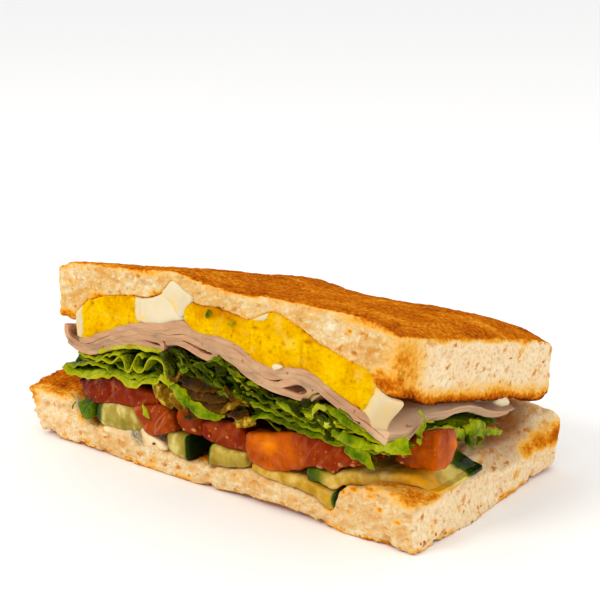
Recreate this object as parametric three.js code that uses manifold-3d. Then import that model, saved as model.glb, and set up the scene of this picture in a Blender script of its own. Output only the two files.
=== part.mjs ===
// One half of a toasted sandwich, cut straight across, standing on its bottom slice.
// Between two slices of trimmed toast lie, from the bottom: cucumber, diced tomato, lettuce,
// folded ham and slices of hard-boiled egg. The stack is tallest at the cut and is pinched
// together towards the outer edge.
//
// Millimetres. X runs along the cut face, Y from the cut face to the outer edge, Z up.
// The fillings are drawn as they lie on the cut face, as points (x, z). settle() carries such
// a point back into the sandwich: it keeps its share of the gap between the two slices.

import * as THREE from 'three';
import { mergeVertices } from 'three/addons/utils/BufferGeometryUtils.js';
import Module from 'manifold-3d';

const wasm = await Module();
wasm.setup();
const { clamp, lerp, smoothstep } = THREE.MathUtils;

// ---------- Driving dimensions ----------

const LENGTH = 115; // of the bottom slice, along the cut
const DEPTH = 57; // from the cut face to the outer edge
const CUT = -DEPTH / 2;
const OUTER = DEPTH / 2;
const HALF = LENGTH / 2;

const FLOOR = -1.2; // underside of the bottom slice; z = 0 is its mean height at the cut
const RIM_HEIGHT = 12.6; // top of the bottom slice near its outer edges
const SEAT_HEIGHT = 7.5; // the same in the middle, where the filling presses it down
const LID_RIM = 13.4; // thickness of the top slice near its outer edges
const LID_SEAT = 8.5; // the same over the middle of the filling
const LID_FALL = 0.245; // the top slice sinks by this much for each millimetre of depth
const LID_LEFT = -44; // ends of the top slice at the cut
const LID_RIGHT = 54.5;

const FILLING_BACK = 18.5; // ham and lettuce reach this far back
const DICE_DEPTH = 13; // of the pieces of cucumber and tomato that show at the cut
const BREAD_CORNER = 2.5; // rounding of the slices' back corners, in plan
const SECOND_ROW = [-13.5, 5]; // where the pieces behind them start and end, in y

const GAP = 0.36; // clear space between pieces that lie side by side
const LAYER_GAP = 0.42; // the same between one layer and the next
const ROOM = 0.34; // how far a cutter stands out round the piece that it makes room for
const LAYER_ROOM = 0.12; // the same between layers, which have their own gap already
const PUSH_ROUNDS = 12; // steps in which a cutter's corners find their places
const TINY_FACE = 1e-3; // a face smaller than this has no say in where they go
const DICE_ROUND = 0.5; // rounding of the edges of diced pieces
const THINNEST = 0.25; // no layer is thinner than this

// ---------- Profiles on the cut face ----------

// A smooth height z(x) through a few points.
function profile(...points) {
  const xs = points.map((point) => point[0]);
  const zs = points.map((point) => point[1]);
  const curve = new THREE.CubicInterpolant(xs, zs, 1);
  return (x) => curve.evaluate(x)[0];
}

const baseTop = profile(
  [-HALF, 11], [-48, 10.7], [-41.5, 10.2], [-38, 6], [-30, 5.3], [-20, 4.8], [-4, 3.8],
  [8, 4.8], [15, 6.2], [22, 5.5], [30, 4.7], [35.6, 3.2], [37.4, 5], [39.5, 8.6], [46.5, 11], [HALF, 9.8]);
const baseUnder = profile(
  [-HALF, 1], [-52, -0.2], [-30, -1], [-5, FLOOR], [8, -0.6], [15, 0], [22, 0.7], [28, 0],
  [35, -0.9], [46, FLOOR], [HALF, -0.4]);
const lidUnder = profile(
  [LID_LEFT, 31.3], [-39, 32], [-33, 36.8], [-20, 39.6], [-11.5, 41.2], [-6.6, 42.8], [-0.5, 41.6],
  [14, 40.3], [22.5, 42.8], [30, 40.2], [43, 35.3], [50, 31.2], [LID_RIGHT, 30.7]);
const lidTop = profile(
  [LID_LEFT, 44], [-38, 45.1], [-20, 46.2], [-5, 47.6], [4, 46.2], [40, 46.3], [50, 45.3], [LID_RIGHT, 44.5]);
const hamTop = profile(
  [-43, 27.6], [-38, 27], [-35, 27.2], [-30, 29], [-20, 32.6], [-10, 34.7], [-3, 36.2], [5, 34.9],
  [13, 34], [20, 31.3], [28, 32.1], [34, 30.4], [42, 26.9], [51, 23.3]);
const hamMiddle = profile(
  [-43, 26], [-35, 25], [-28, 27.9], [-20, 30.3], [-8, 32.3], [4, 32.6], [13, 31.4], [20, 28.8],
  [28, 29.6], [35, 28.6], [42, 25], [51, 20.7]);
const hamUnder = profile(
  [-43, 24.4], [-37, 22.9], [-33, 22.9], [-28, 25.8], [-20, 28], [-11, 28.6], [-6, 30.2], [2.5, 29.1],
  [7, 30.2], [13, 28.3], [20, 25.9], [29, 25.6], [34, 26.8], [38, 26.7], [42, 24.9], [51, 20.6]);
const lettuceUnder = profile(
  [-44, 18.6], [-40, 17.2], [-33, 18.6], [-26, 19.6], [-19, 18.6], [-12, 19.6], [-6, 18], [-1, 16.3],
  [12, 16.2], [20, 17.6], [30, 18.8], [40, 18.4], [45, 17.4], [51, 19]);

// ---------- The two inner faces of the bread ----------

// Distance in from the three outer edges; the cut isn't one of them.
const fromEdge = (x, y) => Math.min(x + HALF, HALF - x, OUTER - y);

// How far the bread is pressed down by the filling: 0 near the outer edges, 1 in the middle.
const pressed = (x, y) => smoothstep(fromEdge(x, y), 8, 26);

// The right end of the bottom slice slopes down to this height.
const baseRightRim = (y) => lerp(9.8, 5.3, smoothstep(y, CUT, 16)) + 3.6 * smoothstep(y, 20, OUTER);

function baseInner(x, y) {
  const seat = lerp(RIM_HEIGHT, SEAT_HEIGHT, pressed(x, y));
  const inner = lerp(baseTop(x), seat, smoothstep(y, CUT + 1, CUT + 24));
  const slope = clamp((x - 46) / (HALF - 46), 0, 1) ** 1.7;
  return lerp(inner, baseRightRim(y), slope * smoothstep(y, CUT, CUT + 6));
}

const lidOuter = (x, y) => lidTop(x) - LID_FALL * (y - CUT);

function lidInner(x, y) {
  const behind = smoothstep(y, CUT + 1, CUT + 24);
  const thickness = lerp(lidTop(x) - lidUnder(x), lerp(LID_RIM, LID_SEAT, pressed(x, y)), behind);
  return lidOuter(x, y) - thickness;
}

// Where the stack is pinched, the loose lower layers give more than the egg and the ham.
function settle(x, z, y) {
  const gapAtCut = lidInner(x, CUT) - baseInner(x, CUT);
  const gap = lidInner(x, y) - baseInner(x, y);
  const share = Math.max(0, (z - baseInner(x, CUT)) / gapAtCut);
  return baseInner(x, y) + gap * share ** lerp(2, 1, gap / gapAtCut);
}

// ---------- Solids ----------

// A closed block of nx, ny and nz cells, each corner placed by place(u, v, w), all from 0 to 1.
function shaped(nx, ny, nz, place) {
  const geometry = new THREE.BoxGeometry(1, 1, 1, nx, ny, nz);
  return moved(geometry, (x, y, z) => place(x + 0.5, y + 0.5, z + 0.5));
}

// The layers share these stations, so that the faces of one run parallel to those of the next.
const spaced = (from, to, cells) => Array.from({ length: cells + 1 }, (_, i) => lerp(from, to, i / cells));
const STATIONS_X = spaced(-HALF, HALF, 26);
const STATIONS_Y = spaced(CUT, OUTER, 8);
const LEAST_CELL = 1.5;

// A layer from x0 to x1 and from the cut back to y1, between two heights low(x, y) and
// high(x, y). edge(u, v, w) moves a corner on its outline.
function layer(x0, x1, y1, rows, low, high, edge = () => [0, 0, 0]) {
  const xs = STATIONS_X.filter((x) => x > x0 + LEAST_CELL && x < x1 - LEAST_CELL);
  const ys = STATIONS_Y.filter((y) => y < y1 - LEAST_CELL);
  xs.unshift(x0);
  xs.push(x1);
  ys.push(y1);
  return shaped(xs.length - 1, ys.length - 1, rows, (u, v, w) => {
    const [dx, dy, dz] = edge(u, v, w);
    const x = xs[Math.round(u * (xs.length - 1))] + dx;
    const y = ys[Math.round(v * (ys.length - 1))] + dy;
    const bottom = low(x, y);
    return [x, y, lerp(bottom, Math.max(high(x, y), bottom + THINNEST), w) + dz];
  });
}

// A geometry with its shared corners merged and each of them moved by a function.
function moved(geometry, place) {
  geometry.deleteAttribute('normal');
  geometry.deleteAttribute('uv');
  const merged = mergeVertices(geometry, 1e-4);
  const corners = merged.getAttribute('position');
  for (let i = 0; i < corners.count; i += 1) {
    corners.setXYZ(i, ...place(corners.getX(i), corners.getY(i), corners.getZ(i)));
  }
  return merged;
}

function toManifold(geometry) {
  return new wasm.Manifold(new wasm.Mesh({
    numProp: 3,
    vertProperties: new Float32Array(geometry.getAttribute('position').array),
    triVerts: new Uint32Array(geometry.getIndex().array),
  }));
}

// The largest body of a solid, as a geometry: what a cut leaves loose is dropped.
function toGeometry(manifold) {
  const bodies = manifold.decompose().sort((a, b) => b.volume() - a.volume());
  const mesh = bodies[0].getMesh();
  const geometry = new THREE.BufferGeometry();
  geometry.setAttribute('position', new THREE.BufferAttribute(new Float32Array(mesh.vertProperties), 3));
  geometry.setIndex(new THREE.BufferAttribute(new Uint32Array(mesh.triVerts), 1));
  return geometry;
}

// A larger copy, used to cut the room that a piece needs in its neighbours. Each corner is
// pushed until it stands the given distance outside all the faces that meet there.
function grown(geometry, distance) {
  const copy = geometry.clone();
  const corners = copy.getAttribute('position');
  const index = copy.getIndex();
  const normalsAt = Array.from({ length: corners.count }, () => []);
  const face = new THREE.Triangle();
  for (let i = 0; i < index.count; i += 3) {
    const ids = [index.getX(i), index.getX(i + 1), index.getX(i + 2)];
    face.setFromAttributeAndIndices(corners, ...ids);
    if (face.getArea() > TINY_FACE) {
      const normal = face.getNormal(new THREE.Vector3());
      ids.forEach((id) => normalsAt[id].push(normal));
    }
  }
  const push = new THREE.Vector3();
  normalsAt.forEach((normals, id) => {
    push.set(0, 0, 0);
    for (let round = 0; round < PUSH_ROUNDS; round += 1) {
      for (const normal of normals) {
        push.addScaledVector(normal, Math.max(0, distance - normal.dot(push)));
      }
    }
    push.clampLength(0, 3 * distance);
    corners.setXYZ(id, corners.getX(id) + push.x, corners.getY(id) + push.y, corners.getZ(id) + push.z);
  });
  return copy;
}

// Cuts room for the neighbours. They are given whole, as they were before any cut of their own.
function makeRoom(geometry, neighbours, room = ROOM) {
  let solid = toManifold(geometry);
  for (const neighbour of neighbours) {
    solid = solid.subtract(toManifold(grown(neighbour, room)));
  }
  return toGeometry(solid);
}

// A tall round cutter.
function column(x, y, radius) {
  const sides = Math.round(8 + 0.7 * radius);
  const geometry = new THREE.CylinderGeometry(radius, radius, 4 * DEPTH, sides);
  geometry.rotateX(Math.PI / 2);
  geometry.translate(x, y, 0);
  return toManifold(moved(geometry, (...corner) => corner));
}

// ---------- Bread ----------

const wave = (a, b, size) => size * Math.sin(a) * Math.cos(b);

// The outline of a slice wanders a little, its back corners are rounded, and its edges are
// rounded by pulling the outer rows towards the middle of the crumb.
function sliceEdge(left, right, round) {
  return (u, v, w) => {
    const side = (u === 1) - (u === 0);
    const corner = BREAD_CORNER * Math.max(0, v - 0.94) / 0.06;
    const dx = (u === 0 ? left(v, w) + corner : 0) + (u === 1 ? right(v, w) - corner : 0);
    const dy = v === 1 ? wave(u * 15 + 1, w * 2, 0.5) - 0.5 : 0;
    const inward = (side === 0 ? 0 : round) + (v === 1 ? round : 0);
    return [dx, dy, inward * (w === 0 ? 1 : 0) - inward * (w === 1 ? 1 : 0)];
  };
}

function makeBase() {
  const leftEnd = (v, w) => lerp(3, 0.2, w) + wave(v * 9 + 1.2, w * 2, v);
  const rightEnd = (v, w) => -0.6 - wave(v * 11 + 0.6, w * 2 + 1, 0.5);
  const under = (x, y) => Math.max(FLOOR, lerp(baseUnder(x), FLOOR, smoothstep(y, CUT, CUT + 8)));
  return layer(-HALF, HALF, OUTER, 2, under, baseInner, sliceEdge(leftEnd, rightEnd, 0.8));
}

function makeLid() {
  const leftEnd = (v, w) => -2 * v + wave(v * 8, w * 3, 0.7);
  const rightEnd = (v, w) => 2 * v + wave(v * 10 + 2, w * 2, 0.4) - (v === 0 ? 1 : 0);
  return layer(LID_LEFT, LID_RIGHT, OUTER, 2, lidInner, lidOuter, sliceEdge(leftEnd, rightEnd, 1.1));
}

// ---------- Egg ----------

// Round slices lying on the ham: the middle of the white, its radius, the same of the yolk.
// Where two of them meet, the earlier one keeps its shape.
const EGGS = [
  { x: -21, y: -16.6, radius: 21, yolkX: -27, yolkY: -18, yolkRadius: 14.6 },
  { x: 35.6, y: -26.8, radius: 19, yolkX: 31, yolkY: -27, yolkRadius: 14.6 },
  { x: 6.3, y: -39.6, radius: 20, yolkX: 6.3, yolkY: -38.6, yolkRadius: 14.2 },
  { x: 35, y: 8.6, radius: 14.5, yolkX: 33, yolkY: 8.6, yolkRadius: 9 },
  { x: 3.6, y: 2.4, radius: 15, yolkX: 3, yolkY: 3.5, yolkRadius: 10 },
  { x: -28, y: 12.6, radius: 8, yolkX: -28, yolkY: 13, yolkRadius: 4.5 },
];

// The yolk goes right through its white, which is a ring round it, open at the cut.
function makeEggs() {
  const discs = [];
  const whites = [];
  const yolks = [];
  const taken = [];
  const low = (x, y) => settle(x, hamTop(x), y) + LAYER_GAP / 2;
  const high = (x, y) => lidInner(x, y) - LAYER_GAP / 2;
  for (const egg of EGGS) {
    const reach = egg.radius + LEAST_CELL;
    const sheet = layer(egg.x - reach, egg.x + reach, egg.y + reach, 1, low, high);
    const free = taken.reduce((solid, cutter) => solid.subtract(cutter), toManifold(sheet));
    const disc = free.intersect(column(egg.x, egg.y, egg.radius));
    discs.push(toGeometry(disc));
    whites.push(toGeometry(disc.subtract(column(egg.yolkX, egg.yolkY, egg.yolkRadius + GAP))));
    yolks.push(toGeometry(disc.intersect(column(egg.yolkX, egg.yolkY, egg.yolkRadius))));
    taken.push(column(egg.x, egg.y, egg.radius + GAP));
  }
  return { discs, whites, yolks };
}

// ---------- Ham ----------

// Two slices folded together run back into the sandwich. The lower one is rippled underneath.
const HAM_LEFT = -42.8;
const HAM_UPPER_RIGHT = 50.8;
const HAM_LOWER_RIGHT = 33.6;

function makeHam(under, top, right) {
  const low = (x, y) => settle(x, under(x), y) + LAYER_GAP / 2;
  const high = (x, y) => settle(x, top(x), y) - LAYER_GAP / 2;
  return layer(HAM_LEFT, right, FILLING_BACK - 1, 1, low, high, fillingEdge);
}

// The back corners of ham and lettuce are well rounded.
function fillingEdge(u, v) {
  const end = Math.max(0, Math.abs(2 * u - 1) - 0.6) / 0.4;
  return [(u === 0) * 3 * v * v - (u === 1) * 2 * v * v, v === 1 ? -5 * end * end : 0, 0];
}

// ---------- Lettuce ----------

// A heap of leaves with an uneven outline. Behind the diced pieces it reaches down to the bread.
function makeLettuce() {
  const low = (x, y) => {
    const dice = settle(x, lettuceUnder(x), y) + LAYER_GAP;
    return lerp(dice, baseInner(x, y) + LAYER_GAP, smoothstep(y, SECOND_ROW[1], SECOND_ROW[1] + 6));
  };
  const high = (x, y) => settle(x, hamUnder(x), y) - LAYER_GAP / 2;
  const edge = (u, v, w) => {
    const [dx, dy] = fillingEdge(u, v);
    const ruffled = v === 0 || v === 1 ? wave(u * 40, w * 3, 0.8) : 0;
    const ends = u === 0 || u === 1 ? wave(v * 14, w * 3, 1.2) : 0;
    return [dx + ends, dy + ruffled, 0];
  };
  return layer(-43, 51, FILLING_BACK, 2, low, high, edge);
}

// ---------- Cucumber and tomato ----------

// A piece with the given outline on the cut face, carried back from its front to its back.
function dice(outline, front = CUT, depth = DICE_DEPTH) {
  const shape = new THREE.Shape(outline.map(([x, z]) => new THREE.Vector2(x, z)));
  const geometry = new THREE.ExtrudeGeometry(shape, {
    depth: depth - 2 * DICE_ROUND,
    steps: 2,
    bevelThickness: DICE_ROUND,
    bevelSize: DICE_ROUND,
    bevelOffset: -DICE_ROUND,
    bevelSegments: 1,
  });
  geometry.rotateX(Math.PI / 2);
  geometry.translate(0, front + depth - DICE_ROUND, 0);
  return moved(geometry, (x, y, z) => [x, y, settle(x, z, Math.max(y, CUT))]);
}

// A thin slice: its front and back edges in plan, its underside and its top on the cut face.
function slice(x0, x1, frontAt, backAt, under, top) {
  return shaped(7, 3, 1, (u, v, w) => {
    const x = lerp(x0, x1, u);
    const y = lerp(frontAt(x), backAt(x), v);
    return [x, y, lerp(under(x), top(x), w)];
  });
}

const CUCUMBERS = [
  { outline: [[-33.4, 9.6], [-32.4, 11.4], [-28, 12], [-21, 12.3], [-18.4, 9.6], [-17.4, 7.4], [-24, 6.4],
    [-31.4, 6.2], [-33, 7.4]] },
  { outline: [[-10.2, 7.9], [-9.6, 9.2], [-3.8, 9.6], [-3.4, 3.9], [-9.6, 4.8]], depth: 9 },
  { outline: [[2, 4.5], [3.4, 9.6], [8, 9.3], [13.4, 9.3], [13.9, 6.6], [9, 5.6]] },
  { outline: [[15.2, 7.7], [20, 7.8], [25, 8.3], [29.4, 7.8], [34, 7], [38, 7.4], [37.4, 5.2], [35.7, 3.5],
    [32, 4.7], [27, 5.5], [20, 5.9], [15.4, 6.2]], depth: 11 },
];

const TOMATOES = [
  { outline: [[-40, 16], [-36, 17], [-31, 18.4], [-25, 18.8], [-18, 17.6], [-11.6, 16.2], [-13, 15.2],
    [-20.6, 13.4], [-29, 12.6], [-35, 12.4]], front: CUT + 0.8 },
  { outline: [[-20, 12.6], [-17.4, 13.7], [-10.6, 15.6], [-9, 14], [-7.5, 10.4], [-12, 8.1], [-15, 7.2],
    [-16.7, 8]], front: CUT - 0.6, depth: 10 },
  { outline: [[-7.6, 13.6], [-6.6, 15.6], [-1.8, 15.8], [-0.2, 15], [0, 10.8], [-6.4, 10.6]], front: CUT + 1 },
  { outline: [[0.7, 10.6], [0.9, 14.4], [6, 15.5], [12, 15.7], [13, 14], [13.4, 10], [7.6, 9.9]],
    front: CUT + 0.5 },
  { outline: [[14.5, 9], [15.2, 8.3], [20, 8.2], [25, 9], [30, 10.8], [38, 12.8], [45, 16.2], [40, 18],
    [34, 18.3], [25, 17], [16, 15.3], [13.8, 14.2]] },
];

// The cucumber slice at the right lies on the bread, its front edge set back more and more.
const RIGHT_SLICE_UNDER = profile([30.5, 7.9], [37, 8.4], [43, 9.9], [50, 10.2], [57, 9.9]);
const RIGHT_SLICE_TOP = profile([30.5, 10.2], [36, 11], [43, 12.6], [50, 13.2], [57, 13.4]);
const rightSliceFront = (x) => CUT + 0.2 + 7.8 * smoothstep(x, 34, 62) * 1.25;
const rightSliceBack = (x) => -4 - 9 * ((50 - x) / 20) ** 2;

// The tomato cube stands on it.
const CUBE = { x0: 46.8, x1: 56.9, y0: -21, y1: -13.6, z0: 13.9, z1: 22.6 };

function makeTomatoCube() {
  return shaped(2, 2, 2, (u, v, w) => {
    const shear = 4 * w * (1 - u);
    const edge = [u, v, w].filter((share) => share === 0 || share === 1).length === 3 ? 0.4 : 0;
    const x = lerp(CUBE.x0 + shear, CUBE.x1 + 0.6 * w, u) + edge * (1 - 2 * u);
    const y = lerp(CUBE.y0, CUBE.y1, v) + edge * (1 - 2 * v);
    const top = CUBE.z1 - 2.4 * (1 - u) - 1.2 * v;
    return [x, y, lerp(CUBE.z0, top, w) + edge * (1 - 2 * w)];
  });
}

// The second row: a slice of cucumber with a piece of tomato on it, three times.
const SECOND_ROW_MIDDLES = [-24, 1, 25];
const SECOND_ROW_WIDTH = 20;

function secondRowPiece(middle, lowShare, highShare, width) {
  return shaped(4, 3, 1, (u, v, w) => {
    const round = 2.5 * (2 * v - 1) ** 2;
    const x = middle + (width / 2 - round) * (2 * u - 1);
    const y = lerp(...SECOND_ROW, v) + wave(middle + u * 3, v, 1);
    const floor = baseInner(x, y) + GAP;
    const ceiling = settle(x, lettuceUnder(x), y) - GAP;
    return [x, y, lerp(floor, ceiling, lerp(lowShare, highShare, w))];
  });
}

// ---------- Assembly ----------

const MATERIALS = {
  toast: { color: 0xe6bf85, roughness: 0.85 },
  eggWhite: { color: 0xf3ead3, roughness: 0.4 },
  yolk: { color: 0xf2bd16, roughness: 0.7 },
  ham: { color: 0xd9a48c, roughness: 0.45 },
  lettuce: { color: 0x5d8a1c, roughness: 0.5 },
  cucumber: { color: 0xc3c070, roughness: 0.35 },
  tomato: { color: 0xb8381c, roughness: 0.3 },
};

const sandwich = new THREE.Group();

function add(name, geometry, look) {
  const material = new THREE.MeshStandardMaterial({ metalness: 0, ...MATERIALS[look] });
  const mesh = new THREE.Mesh(geometry, material);
  mesh.name = name;
  sandwich.add(mesh);
  return geometry;
}

function build() {
  const { discs, whites, yolks } = makeEggs();
  whites.forEach((white, i) => add(`egg_${i + 1}_white`, white, 'eggWhite'));
  yolks.forEach((yolk, i) => add(`egg_${i + 1}_yolk`, yolk, 'yolk'));

  const cucumbers = CUCUMBERS.map((piece) => dice(piece.outline, piece.front, piece.depth));
  cucumbers.push(slice(30.5, 57, rightSliceFront, rightSliceBack, RIGHT_SLICE_UNDER, RIGHT_SLICE_TOP));
  const tomatoes = TOMATOES.map((piece) => dice(piece.outline, piece.front, piece.depth));
  tomatoes.push(makeTomatoCube());
  for (const middle of SECOND_ROW_MIDDLES) {
    cucumbers.push(secondRowPiece(middle, 0.02, 0.44, SECOND_ROW_WIDTH));
    tomatoes.push(secondRowPiece(middle + 3, 0.52, 0.96, SECOND_ROW_WIDTH - 1));
  }
  const placed = [];
  function addDice(name, piece, look) {
    add(name, makeRoom(piece, placed), look);
    placed.push(piece);
  }
  cucumbers.forEach((piece, i) => addDice(`cucumber_${i + 1}`, piece, 'cucumber'));
  tomatoes.forEach((piece, i) => addDice(`tomato_${i + 1}`, piece, 'tomato'));

  const lettuce = makeLettuce();
  const hamUpper = makeRoom(makeHam(hamMiddle, hamTop, HAM_UPPER_RIGHT), placed);
  add('ham_upper', makeRoom(hamUpper, discs, LAYER_ROOM), 'ham');
  add('ham_lower', makeRoom(makeHam(hamUnder, hamMiddle, HAM_LOWER_RIGHT), placed), 'ham');
  add('lettuce', makeRoom(lettuce, placed), 'lettuce');
  add('bread_base', makeRoom(makeBase(), placed.concat(lettuce)), 'toast');
  add('bread_lid', makeRoom(makeLid(), discs, LAYER_ROOM), 'toast');
}

build();

// The origin is the middle of the bottom of the whole.
const box = new THREE.Box3().setFromObject(sandwich);
const middle = box.getCenter(new THREE.Vector3());
sandwich.position.set(-middle.x, -middle.y, -box.min.z);

export default sandwich;
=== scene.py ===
"""The looks of one half of a toasted sandwich with egg, ham and salad, around its CAD frame.

Lengths are millimetres in the cut's own frame, as in the CAD: X runs along the cut face, Y goes
back from it, Z goes up. place() turns them into the frame's metres when a piece is made.
"""

import math

import bpy
import numpy as np
from mathutils import Matrix, Vector


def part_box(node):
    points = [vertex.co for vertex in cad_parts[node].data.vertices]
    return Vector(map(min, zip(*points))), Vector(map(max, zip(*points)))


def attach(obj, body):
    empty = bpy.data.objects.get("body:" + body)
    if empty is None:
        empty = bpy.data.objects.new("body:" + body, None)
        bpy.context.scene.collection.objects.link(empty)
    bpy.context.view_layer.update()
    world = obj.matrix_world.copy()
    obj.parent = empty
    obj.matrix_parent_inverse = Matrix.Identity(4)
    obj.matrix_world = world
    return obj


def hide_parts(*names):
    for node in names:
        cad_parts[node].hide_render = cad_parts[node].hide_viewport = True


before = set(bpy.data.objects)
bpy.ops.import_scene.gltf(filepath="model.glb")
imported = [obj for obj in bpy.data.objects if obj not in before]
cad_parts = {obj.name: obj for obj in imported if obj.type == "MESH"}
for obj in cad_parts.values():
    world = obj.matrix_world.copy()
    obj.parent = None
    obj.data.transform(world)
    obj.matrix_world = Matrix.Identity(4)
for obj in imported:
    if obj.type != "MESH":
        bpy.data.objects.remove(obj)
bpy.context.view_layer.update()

MM = 0.001
# Y of the cut face and of the back edge, half the length along X, and Z of the underside.
CUT, OUTER, HALF, FLOOR = -28.5, 28.5, 57.5, -1.2
HAM_LEFT = -42.8
# How far the camera's line of sight moves along X and up for each millimetre ahead of the cut.
SIGHT_X, SIGHT_Z = 0.81, 0.357
# How far the lid sinks for each millimetre back from the cut.
LID_FALL = 0.245
# The number of the CAD's stations along X.
STATIONS = 27
# The size of the meshes' quads: bread, food at the cut, food behind it, and the heap of lettuce.
BREAD_QUAD, FINE_QUAD, COARSE_QUAD, HEAP_QUAD = 0.54, 0.42, 0.8, 1.2
ORIGIN = np.array([
    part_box("ham_upper")[0].x / MM - HAM_LEFT,
    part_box("bread_base")[0].y / MM - CUT,
    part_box("bread_base")[0].z / MM - FLOOR,
])
# All random draws come from here, so their order matters.
random = np.random.default_rng(7)


# ---------- Numbers ----------

def lerp(a, b, t):
    return a + (b - a) * t


def smooth(x, low, high):
    """0 below low, 1 above high, smooth between. low may be the larger one."""
    t = np.clip((x - low) / (high - low), 0, 1)
    return t * t * (3 - 2 * t)


def profile(*points):
    """A smooth height z(x) through a few points."""
    xs, zs = np.array(points, float).T
    slopes = np.gradient(zs, xs)

    def height(x):
        x = np.clip(x, xs[0], xs[-1])
        i = np.clip(np.searchsorted(xs, x) - 1, 0, len(xs) - 2)
        step = xs[i + 1] - xs[i]
        t = (x - xs[i]) / step
        from_start = zs[i] * (1 + 2 * t) * (1 - t) ** 2 + step * slopes[i] * t * (1 - t) ** 2
        return from_start + zs[i + 1] * t * t * (3 - 2 * t) + step * slopes[i + 1] * t * t * (t - 1)

    return height


def lattice(i, j, k, seed):
    """A fixed random number from -1 to 1 for each cell."""
    n = (i * 374761393 + j * 668265263 + k * 2147483647 + seed * 974711) & 0xFFFFFFFF
    n = ((n ^ (n >> 13)) * 1274126177) & 0xFFFFFFFF
    n = ((n ^ (n >> 16)) * 2246822519) & 0xFFFFFFFF
    return ((n ^ (n >> 15)) & 0xFFFFFF) / 0x800000 - 1.0


def noise(points, size, seed=0, octaves=1):
    """Smooth noise from -1 to 1 at points, with features of about the given size."""
    total = np.zeros(len(points))
    share = 1.0
    for octave in range(octaves):
        q = np.asarray(points) / (size * 0.5 ** octave)
        cell = np.floor(q).astype(np.int64)
        f = q - cell
        f = f * f * (3 - 2 * f)
        value = np.zeros(len(q))
        for corner in range(8):
            bits = np.array([corner & 1, corner >> 1 & 1, corner >> 2])
            weight = np.prod(np.where(bits, f, 1 - f), axis=1)
            i, j, k = (cell + bits).T
            value += weight * lattice(i, j, k, seed + octave)
        total += share * value
        share *= 0.5
    return total


def cells(points, size, seed=0):
    """The distance to the nearest of scattered seeds, in their spacing, and its number, 0 to 1."""
    q = np.asarray(points) / size
    cell = np.floor(q).astype(np.int64)
    best = np.full(len(q), 9.0)
    number = np.zeros(len(q))
    for step in np.ndindex(3, 3, 3):
        near = cell + np.array(step) - 1
        i, j, k = near.T
        jitter = np.stack([lattice(i, j, k, seed + n) for n in range(3)], 1) * 0.5 + 0.5
        distance = np.linalg.norm(near + jitter - q, axis=1)
        closer = distance < best
        best = np.where(closer, distance, best)
        number = np.where(closer, lattice(i, j, k, seed + 3) * 0.5 + 0.5, number)
    return best, number


def blob(points, centre, radii):
    """1 at the centre of a soft ellipsoid, falling to 0 well outside it."""
    return np.exp(-np.sum(((points - np.array(centre)) / np.array(radii)) ** 2, axis=1))


# ---------- The CAD's inner faces, for what lies between them ----------

base_top = profile(
    (-HALF, 11), (-48, 10.7), (-41.5, 10.2), (-38, 6), (-30, 5.3), (-20, 4.8), (-4, 3.8), (8, 4.8),
    (15, 6.2), (22, 5.5), (30, 4.7), (35.6, 3.2), (37.4, 5), (39.5, 8.6), (46.5, 11), (HALF, 9.8))
lid_under = profile(
    (-44, 31.3), (-39, 32), (-33, 36.8), (-20, 39.6), (-11.5, 41.2), (-6.6, 42.8), (-0.5, 41.6),
    (14, 40.3), (22.5, 42.8), (30, 40.2), (43, 35.3), (50, 31.2), (54.5, 30.7))
lid_top = profile(
    (-44, 44), (-38, 45.1), (-20, 46.2), (-5, 47.6), (4, 46.2), (40, 46.3), (50, 45.3), (54.5, 44.5))
ham_top = profile(
    (-43, 27.6), (-38, 27), (-35, 27.2), (-30, 29), (-20, 32.6), (-10, 34.7), (-3, 36.2), (5, 34.9),
    (13, 34), (20, 31.3), (28, 32.1), (34, 30.4), (42, 26.9), (51, 23.3))

# The same faces with the bends that the CAD's wide cells leave out.
fine_base_top = profile(
    (-HALF, 11), (-53, 11), (-48, 10.7), (-41, 10.3), (-38, 6), (-30, 5.4), (-20, 4.9), (-10, 4.3),
    (-4, 3.7), (2, 4.2), (8, 4.8), (15, 6.4), (20, 5.6), (28, 5.1), (33, 4.1), (35.8, 3), (37, 4.2),
    (38.5, 7.4), (40.4, 9.3), (43, 9.6), (46.4, 11), (51.7, 10.8), (HALF, 9.8))
fine_ham_top = profile(
    (-43, 27.6), (-38.3, 26.5), (-36, 26.8), (-30, 29.2), (-25, 31.5), (-20, 33.2), (-10, 34.8),
    (-5, 36.3), (-3, 36.6), (0, 35.2), (7, 35), (13, 33.9), (17, 31.8), (21, 31), (24, 31.5), (28, 32.3),
    (32, 32.1), (34, 31.2), (37, 29.6), (42, 27.3), (46, 25.7), (48, 24.9), (51, 23.4))
fine_lid_under = profile(
    (-44.5, 31.2), (-39, 31.8), (-36.5, 34.5), (-33, 36.8), (-27, 38.6), (-20, 39.6), (-12, 40.9),
    (-9.5, 42.3), (-8, 44), (-6.7, 45.2), (-3, 43.2), (0, 41.2), (6, 41.1), (12, 40.3), (16, 40.4),
    (20, 42.4), (23, 43.1), (28, 41.2), (30, 40.2), (33, 38.6), (38, 37.2), (43, 35.4), (48, 32.4),
    (50.5, 31), (55, 30.6))


def base_inner(x, y):
    """The height of the bottom slice's inner face."""
    from_edge = np.minimum(np.minimum(x + HALF, HALF - x), OUTER - y)
    seat = lerp(12.6, 7.5, smooth(from_edge, 8, 26))
    inner = lerp(base_top(x), seat, smooth(y, CUT + 1, CUT + 24))
    rim = lerp(9.8, 5.3, smooth(y, CUT, 16)) + 3.6 * smooth(y, 20, OUTER)
    slope = np.clip((x - 46) / (HALF - 46), 0, 1) ** 1.7
    return lerp(inner, rim, slope * smooth(y, CUT, CUT + 6))


def lid_outer(x, y):
    """The height of the top slice's upper face."""
    return lid_top(x) - LID_FALL * (y - CUT)


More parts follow.
